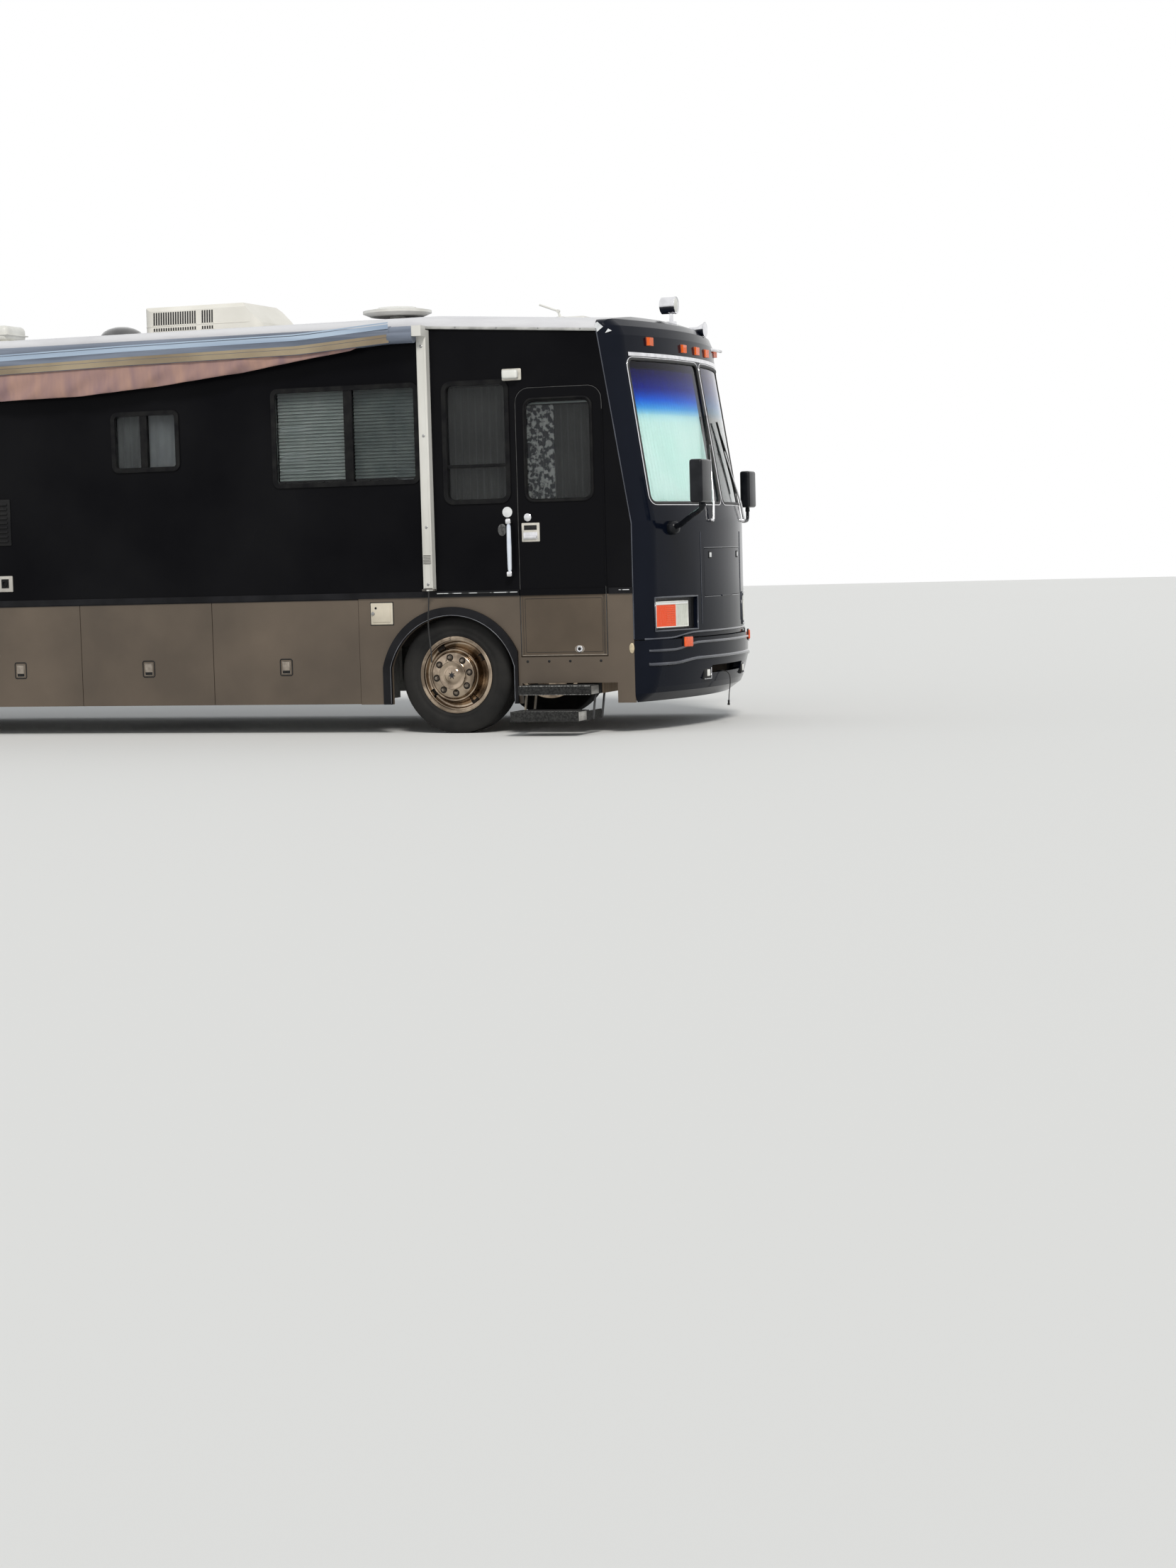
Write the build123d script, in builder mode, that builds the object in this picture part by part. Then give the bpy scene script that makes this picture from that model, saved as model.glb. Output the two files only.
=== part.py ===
from build123d import *
import math
import os

os.makedirs("parts", exist_ok=True)

# A coach-style motorhome with its engine at the rear, in millimetres.
# +X is forward, +Y is its left side, Z = 0 is the ground, X = 0 is halfway along.

# Overall limits: mirror ahead, tow receiver behind, step and mirror at the sides
end_limit_x = 5600.0
side_limit_y = 1605.0

# Body
half_width = 1219.0
front_axle_x = 3480.0
wheelbase = 5790.0
rear_axle_x = front_axle_x - wheelbase
rear_face_x = -5500.0
rear_seam_x = -5330.0
skirt_bottom_z = 232.0
belt_z = 1058.0
wall_thickness = 50.0
skirt_thickness = 30.0
inner_y = half_width - wall_thickness

# Clearances
door_gap = 6.0
seat_gap = 0.3
running_clearance = 0.05
slide_clearance = 0.5

# Roof edge: level along the coach, then lower towards the windscreen
roof_edge_z = 3200.0
roof_edge_front_z = 3112.0
roof_slope_start_x = 3250.0
roof_crown = 80.0
roof_corner_r = 80.0
roof_band_depth = 78.0
roof_overhang = 5.0
roof_thickness = 60.0

# Seam between the front cap and the side walls, leaning back above a height
seam_low_x = 4965.0
seam_low_z = 1585.0
seam_high_x = 4717.0
seam_high_z = 3088.0

# Floor deck and chassis rails
deck_top_z = 1050.0
deck_thickness = 60.0
deck_bottom_z = deck_top_z - deck_thickness
deck_front_x = 5030.0
rail_y = 430.0
rail_width = 80.0
rail_depth = 250.0
rail_top_z = 900.0
rail_bottom_z = rail_top_z - rail_depth

# Entry door
door_rear_x = 4055.0
door_front_x = 4751.0
door_bottom_z = 592.0
door_top_z = 2631.0
door_corner_r = 110.0
door_thickness = 45.0


def seam_x(z):
    """Where the front cap's seam lies at a height."""
    if z <= seam_low_z:
        return seam_low_x
    slope = (seam_high_x - seam_low_x) / (seam_high_z - seam_low_z)
    return seam_low_x + slope * (z - seam_low_z)


def roof_edge_at(x):
    """Height of the roof edge along the coach."""
    share = max(0.0, (x - roof_slope_start_x) / (seam_high_x - roof_slope_start_x))
    return roof_edge_z - share * (roof_edge_z - roof_edge_front_z)


def roof_top_at(x, y):
    """Height of the crowned roof at a place."""
    edge_y = half_width + roof_overhang
    crown_r = (edge_y * edge_y + roof_crown * roof_crown) / (2 * roof_crown)
    return roof_edge_at(x) + roof_crown - crown_r + math.sqrt(crown_r * crown_r - y * y)


def save(name, piece):
    """Label a finished piece and write it."""
    piece.label = name
    export_step(piece, f"parts/{name}.step")


def side_sign(side):
    return -1.0 if side == "right" else 1.0


def side_plane(side, y):
    """A plane at a distance out from the middle, drawn on in X and Z."""
    return Plane((0, side_sign(side) * y, 0), x_dir=(1, 0, 0), z_dir=(0, -1, 0))


def side_panel(side, x0, x1, z0, z1, y, thickness, radius=0.0, grow=0.0):
    """A flat panel in a side wall, its outer face at y, its corners rounded."""
    with BuildPart() as panel:
        with BuildSketch(side_plane(side, y)):
            with Locations(((x0 + x1) / 2, (z0 + z1) / 2)):
                width, height = x1 - x0 + 2 * grow, z1 - z0 + 2 * grow
                if radius > 0:
                    RectangleRounded(width, height, radius + grow)
                else:
                    Rectangle(width, height)
        extrude(amount=side_sign(side) * thickness)
    return panel.part


def block(x0, x1, y0, y1, z0, z1):
    """A plain block between six faces."""
    solid = Box(x1 - x0, y1 - y0, z1 - z0, align=(Align.MIN, Align.MIN, Align.MIN))
    return solid.moved(Location((x0, y0, z0)))


def rod(start, end, radius):
    """A round bar between two points."""
    path = Vector(*end) - Vector(*start)
    plane = Plane(origin=start, z_dir=path)
    return Cylinder(radius, path.length, align=(Align.CENTER, Align.CENTER, Align.MIN)).moved(plane.location)


def joined(pieces):
    """One part from several."""
    whole = pieces[0]
    for piece in pieces[1:]:
        whole = whole + piece
    return whole


# Windows in the walls: side, rear x, front x, bottom z, top z, corner radius
windows = [
    ("right", 587.0, 1180.0, 2116.0, 2582.0, 50.0),
    ("right", 2010.0, 3248.0, 1946.0, 2706.0, 50.0),
    ("right", 3460.0, 3997.0, 1775.0, 2700.0, 70.0),
    ("right", -4250.0, -3200.0, 1946.0, 2582.0, 50.0),
    ("left", 587.0, 1180.0, 2116.0, 2582.0, 50.0),
    ("left", 2010.0, 3248.0, 1946.0, 2706.0, 50.0),
    ("left", 3860.0, 4620.0, 1800.0, 2650.0, 70.0),
    ("left", -4250.0, -3200.0, 1946.0, 2582.0, 50.0),
]
door_window = (4123.0, 4667.0, 1772.0, 2546.0)
door_window_r = 70.0
glass_thickness = 6.0
glass_inset = 12.0
frame_width = 28.0
frame_proud = 12.0
frame_inside = 30.0

# Storage bays below the belt: rear x, front x
bays = [(-925.0, 225.0), (225.0, 1418.0), (1418.0, 2697.0)]
bay_rear_x, bay_front_x = bays[0][0], bays[-1][1]
bay_inner_y = 500.0
bay_sheet = 20.0
bay_floor_z = 250.0
bay_door_bottom_z = 236.0
bay_door_top_z = 1052.5
seal_gap = 5.5

# Wheel arches
arch_half_width = 512.0
arch_spring_z = 520.0
arch_top_z = 913.0
flare_width = 70.0
flare_proud = 22.0


# Doorway and entry door outline, square below with round upper corners
def door_outline(y, thickness, grow):
    with BuildPart() as outline:
        with BuildSketch(side_plane("right", y)) as face:
            with Locations(((door_rear_x + door_front_x) / 2, (door_bottom_z + door_top_z) / 2)):
                Rectangle(door_front_x - door_rear_x + 2 * grow, door_top_z - door_bottom_z + 2 * grow)
            fillet(face.vertices().group_by(Axis.Y)[-1], door_corner_r + grow)
        extrude(amount=-thickness)
    return outline.part


doorway = door_outline(half_width + 20, wall_thickness + 60, door_gap)

# Hinge beads: thin round bars that the lids turn on
bead_r = 4.0
bead_out = 4.0
bay_bead_z = bay_door_top_z + 2.5
entry_bead_r = 5.0
entry_bead_x = door_front_x + 4.0
entry_bead_y = -(half_width + 3.5)


# Side walls: one panel each side of the hollow cabin, with its windows cut
def side_wall(side):
    top_front_z = roof_edge_front_z - roof_band_depth
    for _ in range(4):
        top_front_z = roof_edge_at(seam_x(top_front_z)) - roof_band_depth
    with BuildPart() as wall:
        with BuildSketch(side_plane(side, half_width)):
            with BuildLine():
                Polyline(
                    (rear_seam_x, belt_z),
                    (seam_low_x, belt_z),
                    (seam_low_x, seam_low_z),
                    (seam_x(top_front_z), top_front_z),
                    (roof_slope_start_x, roof_edge_z - roof_band_depth),
                    (rear_seam_x, roof_edge_z - roof_band_depth),
                    close=True,
                )
            make_face()
        extrude(amount=side_sign(side) * wall_thickness)
    piece = wall.part
    for window_side, x0, x1, z0, z1, radius in windows:
        if window_side == side:
            piece = piece - side_panel(side, x0, x1, z0, z1, half_width + 5, wall_thickness + 10, radius)
    return piece


entry_bead = rod((entry_bead_x, entry_bead_y, 700), (entry_bead_x, entry_bead_y, 2450), entry_bead_r)
entry_bead = entry_bead - block(4000, 5000, -1300, -1100, 0, belt_z + 60)
save("wall_right", side_wall("right") - doorway + entry_bead)
save("wall_left", side_wall("left"))


# Lower body sides: skirts with the bays' side, the wheel arches and the step's space cut out
step_skirt_z = 386.0
step_skirt_x = (4052.0, 4826.0)


def arch_face(x_centre, grow=0.0):
    """The wheel arch's outline, straight legs under one round arc."""
    h = arch_half_width + grow
    low_z = skirt_bottom_z - 50
    with BuildSketch(Plane.XY) as arch:
        with BuildLine():
            Line((x_centre - h, low_z), (x_centre - h, arch_spring_z))
            ThreePointArc(
                (x_centre - h, arch_spring_z), (x_centre, arch_top_z + grow), (x_centre + h, arch_spring_z)
            )
            Line((x_centre + h, arch_spring_z), (x_centre + h, low_z))
            Line((x_centre + h, low_z), (x_centre - h, low_z))
        make_face()
    return arch.sketch


def skirt(side):
    with BuildPart() as panel:
        with BuildSketch(side_plane(side, half_width)):
            with Locations(((seam_low_x + rear_seam_x) / 2, (belt_z + skirt_bottom_z) / 2)):
                Rectangle(seam_low_x - rear_seam_x, belt_z - skirt_bottom_z)
            for axle_x in (front_axle_x, rear_axle_x):
                add(arch_face(axle_x), mode=Mode.SUBTRACT)
            with Locations(((bay_rear_x + bay_front_x) / 2, (belt_z + skirt_bottom_z) / 2)):
                Rectangle(bay_front_x - bay_rear_x, belt_z - skirt_bottom_z + 20, mode=Mode.SUBTRACT)
            if side == "right":
                with Locations(((step_skirt_x[0] + step_skirt_x[1]) / 2, (skirt_bottom_z + step_skirt_z) / 2)):
                    Rectangle(step_skirt_x[1] - step_skirt_x[0], step_skirt_z - skirt_bottom_z,
                              mode=Mode.SUBTRACT)
        extrude(amount=side_sign(side) * skirt_thickness)
    return panel.part


save("skirts", (skirt("right") - doorway) + skirt("left"))

# Roof: one white shell with rolled edges, lower at the front
def roof_form(inset):
    """The roof's full form down to its side bands, drawn in by the inset."""
    y = half_width + roof_overhang - inset
    with BuildPart() as form:
        for x in (rear_seam_x, roof_slope_start_x, seam_high_x + 60):
            edge_z = roof_edge_at(x)
            low_z = edge_z - roof_band_depth - inset
            with BuildSketch(Plane.YZ.offset(x)) as section:
                with BuildLine():
                    Line((-y, low_z), (y, low_z))
                    Line((y, low_z), (y, edge_z - inset))
                    ThreePointArc((y, edge_z - inset), (0, edge_z + roof_crown - inset), (-y, edge_z - inset))
                    Line((-y, edge_z - inset), (-y, low_z))
                make_face()
                fillet(section.vertices().group_by(Axis.Y)[-1], roof_corner_r - inset)
        loft(ruled=True)
    return form.part


def seam_prism(offset, ahead):
    """Everything ahead of the cap's seam, or everything behind it."""
    far_x = end_limit_x + 900.0 if ahead else -end_limit_x - 900.0
    with BuildPart() as prism:
        with BuildSketch(Plane.XZ.offset(-half_width - 300)):
            with BuildLine():
                Polyline(
                    (seam_low_x + offset, -100),
                    (seam_low_x + offset, seam_low_z),
                    (seam_x(3600) + offset, 3600),
                    (far_x, 3600),
                    (far_x, -100),
                    close=True,
                )
            make_face()
        extrude(amount=2 * half_width + 600)
    return prism.part


roof = (roof_form(0.0) - roof_form(roof_thickness)) & seam_prism(0.0, False)
save("roof", roof)

# Front cap: a bowed moulding, made of level plan outlines that share one bow
bow_r = 3200.0
cap_corner_r = 150.0
cap_wall = 45.0
cap_rear_x = 4150.0
cap_bottom_z = 706.0
screen_bottom_z = 1731.0
screen_top_z = 2823.0
# Height, nose ahead of the front axle
cap_profile = [
    (cap_bottom_z, 1850.0),
    (1600.0, 1850.0),
    (screen_bottom_z - 9, 1827.5),
    (screen_top_z + 9, 1648.5),
    (3000.0, 1636.0),
    (3070.0, 1606.0),
    (3125.0, 1540.0),
    (3165.0, 1430.0),
    (3205.0, 1180.0),
]


def nose_at(z, profile=None):
    """How far ahead the middle of the bow stands at a height."""
    profile = profile or cap_profile
    for (z0, n0), (z1, n1) in zip(profile, profile[1:]):
        if z <= z1:
            return front_axle_x + n0 + (n1 - n0) * (z - z0) / (z1 - z0)
    return front_axle_x + profile[-1][1]


def bow_at(y, r=bow_r):
    """How far the bow falls back at a distance from the middle."""
    return r - math.sqrt(r * r - y * y)


def bowed_form(inset, profile):
    """A bowed solid through level sections, drawn in by the inset."""
    y = half_width - inset
    r = bow_r - inset
    with BuildPart() as form:
        for z, nose in profile:
            x = front_axle_x + nose - inset
            corner_x = x - bow_at(y, r)
            with BuildSketch(Plane.XY.offset(z)) as section:
                with BuildLine():
                    Line((cap_rear_x, -y), (corner_x, -y))
                    ThreePointArc((corner_x, -y), (x, 0), (corner_x, y))
                    Line((corner_x, y), (cap_rear_x, y))
                    Line((cap_rear_x, y), (cap_rear_x, -y))
                make_face()
                fillet(section.vertices().group_by(Axis.X)[-1], cap_corner_r - inset)
        loft(ruled=True)
    return form.part


def crown_form(inset):
    """What lies under the cap's crowned roof."""
    y = half_width + roof_overhang - inset
    edge_z = roof_edge_front_z - inset
    with BuildPart() as crown:
        with BuildSketch(Plane.YZ.offset(cap_rear_x - 50)) as section:
            with BuildLine():
                Line((-y, 0), (y, 0))
                Line((y, 0), (y, edge_z))
                ThreePointArc((y, edge_z), (0, edge_z + roof_crown), (-y, edge_z))
                Line((-y, edge_z), (-y, 0))
            make_face()
            fillet(section.vertices().group_by(Axis.Y)[-1], roof_corner_r - inset)
        extrude(amount=1500)
    return crown.part


ahead_of_seam = seam_prism(seat_gap, True)
cap_outer = (bowed_form(0.0, cap_profile) & crown_form(0.0)) & ahead_of_seam
cap_hollow = [
    (cap_bottom_z - 50, 1850.0),
    (1600.0, 1850.0),
    (screen_bottom_z - 14, 1828.0),
    (screen_top_z + 14, 1647.0),
    (2990.0, 1620.0),
    (3045.0, 1500.0),
]
cap_inner = bowed_form(cap_wall, cap_hollow)

# Windscreen: two panes on the bow, either side of a centre post
screen_half_bottom = 1135.0
screen_half_top = 1120.0
screen_corner_r = 60.0
post_half = 22.0
screen_inset = 10.0
screen_thickness = 12.0


def front_prism(points, radius):
    """An outline seen from ahead, as a long prism along X."""
    with BuildPart() as prism:
        with BuildSketch(Plane.YZ.offset(4700)) as outline:
            with BuildLine():
                Polyline(*points, close=True)
            make_face()
            fillet(outline.vertices(), radius)
        extrude(amount=1200)
    return prism.part


def screen_prism(side, grow):
    sign = side_sign(side)
    low, high = screen_bottom_z - grow, screen_top_z + grow
    inner, low_y, high_y = post_half - grow, screen_half_bottom + grow, screen_half_top + grow
    points = [(sign * inner, low), (sign * low_y, low), (sign * high_y, high), (sign * inner, high)]
    return front_prism(points, screen_corner_r + grow)


# Front hatch and headlamp recesses
hatch_half = 467.0
hatch_bottom_z = 1012.0
hatch_top_z = 1384.0
hatch_thickness = 30.0
lamp_y0, lamp_y1 = 596.0, 1150.0
lamp_z0, lamp_z1 = 770.0, 1016.0
lamp_inset = 28.0
lamp_thickness = 20.0
lens_y0, lens_y1 = 733.0, 1140.0
lens_z0, lens_z1 = 791.0, 986.0
lens_inset = 3.0
sides = ("right", "left")


def box_prism(y0, y1, z0, z1, grow, radius):
    points = [(y0 - grow, z0 - grow), (y1 + grow, z0 - grow), (y1 + grow, z1 + grow), (y0 - grow, z1 + grow)]
    return front_prism(points, radius)


def lamp_prism(side, grow):
    y0, y1 = (lamp_y0, lamp_y1) if side == "left" else (-lamp_y1, -lamp_y0)
    return box_prism(y0, y1, lamp_z0, lamp_z1, grow, 12.0)


front_cap = cap_outer - cap_inner
for side in sides:
    front_cap = front_cap - screen_prism(side, 0.0)
    front_cap = front_cap - lamp_prism(side, 0.0)
front_cap = front_cap - box_prism(-hatch_half, hatch_half, hatch_bottom_z, hatch_top_z, 0.0, 20.0)
hatch_bead_r = 5.0
hatch_bead_x = nose_at(hatch_bottom_z) + 3.0
hatch_bead_z = hatch_bottom_z - 2.0
front_cap = front_cap + rod((hatch_bead_x, -130, hatch_bead_z), (hatch_bead_x, 130, hatch_bead_z), hatch_bead_r)
save("front_cap", front_cap)

screen_skin = bowed_form(screen_inset, cap_profile) - bowed_form(screen_inset + screen_thickness, cap_profile)
save("windshield", joined([screen_skin & screen_prism(side, -seat_gap) for side in sides]))

hatch_lip = 3.0
hatch_skin = cap_outer - bowed_form(hatch_thickness, cap_profile)
front_hatch = hatch_skin & box_prism(-hatch_half, hatch_half, hatch_bottom_z, hatch_top_z, -hatch_lip, 18.0)
save("front_hatch", front_hatch)

# Rear cap: flat back with round corners, crowned like the roof
rear_corner_r = 100.0
rear_wall = 50.0
rear_bottom_z = 390.0


def rear_form(inset):
    y = half_width - inset
    edge_y = half_width + roof_overhang - inset
    edge_z = roof_edge_z - inset
    with BuildPart() as form:
        with BuildSketch(Plane.XY.offset(rear_bottom_z - inset)) as outline:
            with Locations(((rear_face_x + rear_seam_x + inset) / 2, 0)):
                Rectangle(rear_seam_x - rear_face_x - inset, 2 * y)
            fillet(outline.vertices().group_by(Axis.X)[0], rear_corner_r - inset)
        extrude(amount=3100)
        with BuildSketch(Plane.YZ.offset(rear_face_x - 50)) as under:
            with BuildLine():
                Line((-edge_y, 0), (edge_y, 0))
                Line((edge_y, 0), (edge_y, edge_z))
                ThreePointArc((edge_y, edge_z), (0, edge_z + roof_crown), (-edge_y, edge_z))
                Line((-edge_y, edge_z), (-edge_y, 0))
            make_face()
            fillet(under.vertices().group_by(Axis.Y)[-1], roof_corner_r - inset)
        extrude(amount=500, mode=Mode.INTERSECT)
    return form.part


# Engine door and rear window: half width, bottom z, top z
engine_door_half, engine_door_z0, engine_door_z1 = 520.0, 650.0, 980.0
engine_door_thickness = 35.0
rear_window_half, rear_window_z0, rear_window_z1 = 520.0, 1900.0, 2500.0


def rear_panel(half, z0, z1, radius, grow, x, depth):
    with BuildPart() as panel:
        with BuildSketch(Plane.YZ.offset(x)):
            with Locations((0, (z0 + z1) / 2)):
                RectangleRounded(2 * half + 2 * grow, z1 - z0 + 2 * grow, radius + grow)
        extrude(amount=depth)
    return panel.part


rear_cap = rear_form(0.0) - rear_form(rear_wall)
rear_cap = rear_cap - rear_panel(
    engine_door_half, engine_door_z0, engine_door_z1, 20, door_gap, rear_face_x - 10, rear_wall + 20
)
rear_cap = rear_cap - rear_panel(
    rear_window_half, rear_window_z0, rear_window_z1, 60, 0, rear_face_x - 10, rear_wall + 20
)
engine_bead_x = rear_face_x - 2.5
engine_bead_z = engine_door_z1 + 3.8
engine_bead = rod((engine_bead_x, -450, engine_bead_z), (engine_bead_x, 450, engine_bead_z), bead_r)
tailpipe_y, tailpipe_z, tailpipe_r = 640.0, 520.0, 45.0
tail_clear = rod((-5600, tailpipe_y, tailpipe_z), (-5300, tailpipe_y, tailpipe_z), tailpipe_r + 15)
rear_cap = rear_cap + engine_bead - tail_clear
save("rear_cap", rear_cap)
save("engine_door", rear_panel(
    engine_door_half, engine_door_z0, engine_door_z1, 20, 0, rear_face_x, engine_door_thickness
))

# Bumpers: bowed front moulding with a slot below, straight rear one
bumper_bottom_z, bumper_top_z = 232.0, 700.0
# Height, nose ahead of the front axle
bumper_middle = [(300.0, 1814.0), (345.0, 1835.0), (510.0, 1878.0)]
bumper_profile = [(bumper_bottom_z, 1718.0), *bumper_middle, (bumper_top_z, 1884.0)]
bumper_core = [(bumper_bottom_z - 50, 1640.0), *bumper_middle, (bumper_top_z + 50, 1884.0)]
bumper_wall = 60.0
slot_half, slot_z0, slot_z1 = 398.0, 415.0, 475.0
front_bumper = (bowed_form(0.0, bumper_profile) - bowed_form(bumper_wall, bumper_core)) & ahead_of_seam
front_bumper = front_bumper - box_prism(-slot_half, slot_half, slot_z0, slot_z1, 0.0, 10.0)
rear_bumper_z0, rear_bumper_z1 = 440.0, 620.0
with BuildPart() as rear_bumper:
    with BuildSketch(Plane.XY.offset(rear_bumper_z0)) as outline:
        with Locations((rear_face_x - 30, 0)):
            Rectangle(60, 2 * half_width - 20)
        fillet(outline.vertices().group_by(Axis.X)[0], 40)
    extrude(amount=rear_bumper_z1 - rear_bumper_z0)
rear_bumper_piece = rear_bumper.part - tail_clear
brackets = block(5140, 5320, -rail_y - 25, -rail_y + 25, 560, rail_bottom_z) + block(
    5140, 5320, rail_y - 25, rail_y + 25, 560, rail_bottom_z)
brackets = brackets & bowed_form(bumper_wall - 20, bumper_core)
save("bumpers", joined([front_bumper, brackets, rear_bumper_piece]))

# Rub rails at the belt, hinge beads over the bays, and the wheel arch flares
rub_height = 46.0
rub_proud = 10.0
below = 600.0
mouldings = []
for side in sides:
    sign = side_sign(side)
    spans = [(rear_seam_x, seam_low_x)]
    if side == "right":
        spans = [(rear_seam_x, door_rear_x - door_gap), (door_front_x + 24, seam_low_x)]
    for x0, x1 in spans:
        mouldings.append(side_panel(side, x0, x1, belt_z, belt_z + rub_height, half_width + rub_proud, rub_proud))
    bead_y = sign * (half_width + bead_out)
    mouldings.append(rod((bay_rear_x, bead_y, bay_bead_z), (bay_front_x, bead_y, bay_bead_z), bead_r))
    with BuildPart() as flares:
        with BuildSketch(side_plane(side, half_width)):
            for axle_x in (front_axle_x, rear_axle_x):
                add(arch_face(axle_x, flare_width))
                add(arch_face(axle_x), mode=Mode.SUBTRACT)
            with Locations((0, skirt_bottom_z - below / 2)):
                Rectangle(4 * end_limit_x, below, mode=Mode.SUBTRACT)
        extrude(amount=-sign * flare_proud)
    mouldings.append(flares.part - block(door_rear_x - 30, 5000, -1300, 1300, 0, 2000))
save("side_mouldings", joined(mouldings))

# Bay doors, hinged along their top edges
for side in sides:
    for number, (x0, x1) in enumerate(bays, start=1):
        panel = side_panel(
            side, x0 + door_gap / 2, x1 - door_gap / 2,
            bay_door_bottom_z, bay_door_top_z, half_width, skirt_thickness,
        )
        save(f"bay_door_{side}_{number}", panel)

# Entry door with its own stretch of the rub rail, and its glass
entry_door = door_outline(half_width, door_thickness, 0.0)
entry_door = entry_door - side_panel("right", *door_window, half_width + 5, door_thickness + 10, door_window_r)
entry_door = entry_door + side_panel(
    "right", door_rear_x, door_front_x - door_gap, belt_z, belt_z + rub_height, half_width + rub_proud, rub_proud
)
save("entry_door", entry_door)
save("entry_door_glass", side_panel(
    "right", *door_window, half_width - glass_inset, glass_thickness, door_window_r, -seat_gap
))

# Side glass in its frames, and the rear window
panes = []
frames = []
for side, x0, x1, z0, z1, radius in windows:
    opening = (side, x0, x1, z0, z1)
    panes.append(side_panel(*opening, half_width - glass_inset, glass_thickness, radius, -frame_width - seat_gap))
    ring = side_panel(*opening, half_width + frame_proud, frame_proud + frame_inside, radius, -seat_gap)
    hole_depth = frame_proud + frame_inside + 10
    hole = side_panel(*opening, half_width + frame_proud + 5, hole_depth, radius, -frame_width)
    flange = side_panel(*opening, half_width + frame_proud, frame_proud - seat_gap, radius, 8.0)
    frames.append(ring + flange - hole)
panes.append(rear_panel(
    rear_window_half, rear_window_z0, rear_window_z1, 60, -seat_gap, rear_face_x + glass_inset, glass_thickness
))
save("side_glass", joined(panes))
save("window_frames", joined(frames))

# Floor deck with its stairwell inside the entry door; rails under the stairwell carry the steps
stair_inner_y = -560.0
stair_tread_z = 810.0
stair_depth = 290.0
sheet = 20.0
stair_x0, stair_x1 = door_rear_x - 5.0, door_front_x + 5.0
stair_outer_y = -inner_y + 1.0
stair_low_z = door_bottom_z - sheet
deck_rear_x = rear_face_x + rear_wall + seat_gap
with BuildPart() as deck_plate:
    with BuildSketch(Plane.XY.offset(deck_bottom_z)) as outline:
        with Locations(((deck_rear_x + deck_front_x) / 2, 0)):
            Rectangle(deck_front_x - deck_rear_x, 2 * (inner_y - seat_gap))
        fillet(outline.vertices().group_by(Axis.X)[0], rear_corner_r - rear_wall - seat_gap)
    extrude(amount=deck_thickness)
deck = deck_plate.part
deck = deck - block(stair_x0, stair_x1, -inner_y - 20, stair_inner_y, deck_bottom_z - 5, deck_top_z + 5)
deck = deck & seam_prism(-1.0, False)

# Entry steps: frame plates slide in hangers, and the lower tread swings on twin links
tread_x0, tread_x1 = 4084.0, 4653.0
plate = 10.0
upper_front_y, upper_rear_y = -1365.0, -1125.0
plate_rear_y = -960.0
upper_z0, upper_z1 = 302.0, 372.0
tread_sheet = 12.0
lower_front_y, lower_rear_y = -side_limit_y, -1365.0
lower_z0, lower_z1 = 115.0, 190.0
arm_rear_y = -1080.0
arm_z1 = 182.0
# Link pivots: upper y, lower y
link_pivots = (-1222.0, -1016.0)
link_upper_z, link_lower_z = 322.0, 123.0
link_lean = 68.0
link_pin_r = 6.0
link_half = 12.0
slide_travel = 260.0
swing_turn = 80.0
hanger_y0, hanger_y1 = -1115.0, -700.0
hanger = 10.0
hangers = []
for x0 in (tread_x0 - plate - slide_clearance - hanger, tread_x1 + plate + slide_clearance):
    hangers.append(block(x0, x0 + hanger, hanger_y0, hanger_y1, upper_z0, stair_low_z + 5))
stairwell = joined([
    block(stair_x0 - sheet, stair_x1 + sheet, stair_outer_y, stair_inner_y + sheet, stair_low_z, door_bottom_z),
    block(stair_x0, stair_x1, stair_inner_y - stair_depth, stair_inner_y, stair_tread_z - sheet, stair_tread_z),
    block(stair_x0, stair_x1, stair_inner_y - stair_depth, stair_inner_y - stair_depth + sheet,
          door_bottom_z, stair_tread_z),
    block(stair_x0, stair_x1, stair_inner_y, stair_inner_y + sheet, door_bottom_z, deck_bottom_z),
    block(stair_x0 - sheet, stair_x0, stair_outer_y, stair_inner_y + sheet, door_bottom_z, deck_bottom_z),
    block(stair_x1, stair_x1 + sheet, stair_outer_y, stair_inner_y + sheet, door_bottom_z, deck_bottom_z),
])
save("floor_deck", joined([deck, stairwell] + hangers))

tread_plate = block(tread_x0, tread_x1, upper_front_y, upper_rear_y, upper_z1 - tread_sheet, upper_z1)
upper_step = joined([
    tread_plate,
    block(tread_x0, tread_x1, upper_front_y, upper_front_y + tread_sheet, upper_z0, upper_z1),
    block(tread_x0, tread_x1, upper_rear_y - tread_sheet, upper_rear_y, upper_z0, upper_z1),
    block(tread_x0 - plate, tread_x0, upper_front_y, plate_rear_y, upper_z0, upper_z1),
    block(tread_x1, tread_x1 + plate, upper_front_y, plate_rear_y, upper_z0, upper_z1),
])
link_x = (tread_x0 + slide_clearance, tread_x1 - slide_clearance - plate)
arm_x = (link_x[0] + plate + slide_clearance, link_x[1] - slide_clearance - plate)
for y in link_pivots:
    for x0 in (tread_x0 - plate - 5, tread_x1 - 5):
        upper_step = upper_step - rod((x0, y, link_upper_z), (x0 + plate + 10, y, link_upper_z),
                                      link_pin_r + running_clearance)
save("upper_step", upper_step)


def link_bar(x0, x1, y):
    """One link: a flat bar with round ends, leaning outwards."""
    with BuildPart() as bar:
        with BuildSketch(Plane.YZ.offset(x0)):
            SlotCenterToCenter(math.hypot(link_lean, link_upper_z - link_lower_z), 2 * link_half,
                               rotation=math.degrees(math.atan2(link_upper_z - link_lower_z, link_lean)))
        extrude(amount=x1 - x0)
    return bar.part.moved(Location((0, y - link_lean / 2, (link_upper_z + link_lower_z) / 2)))


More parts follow.
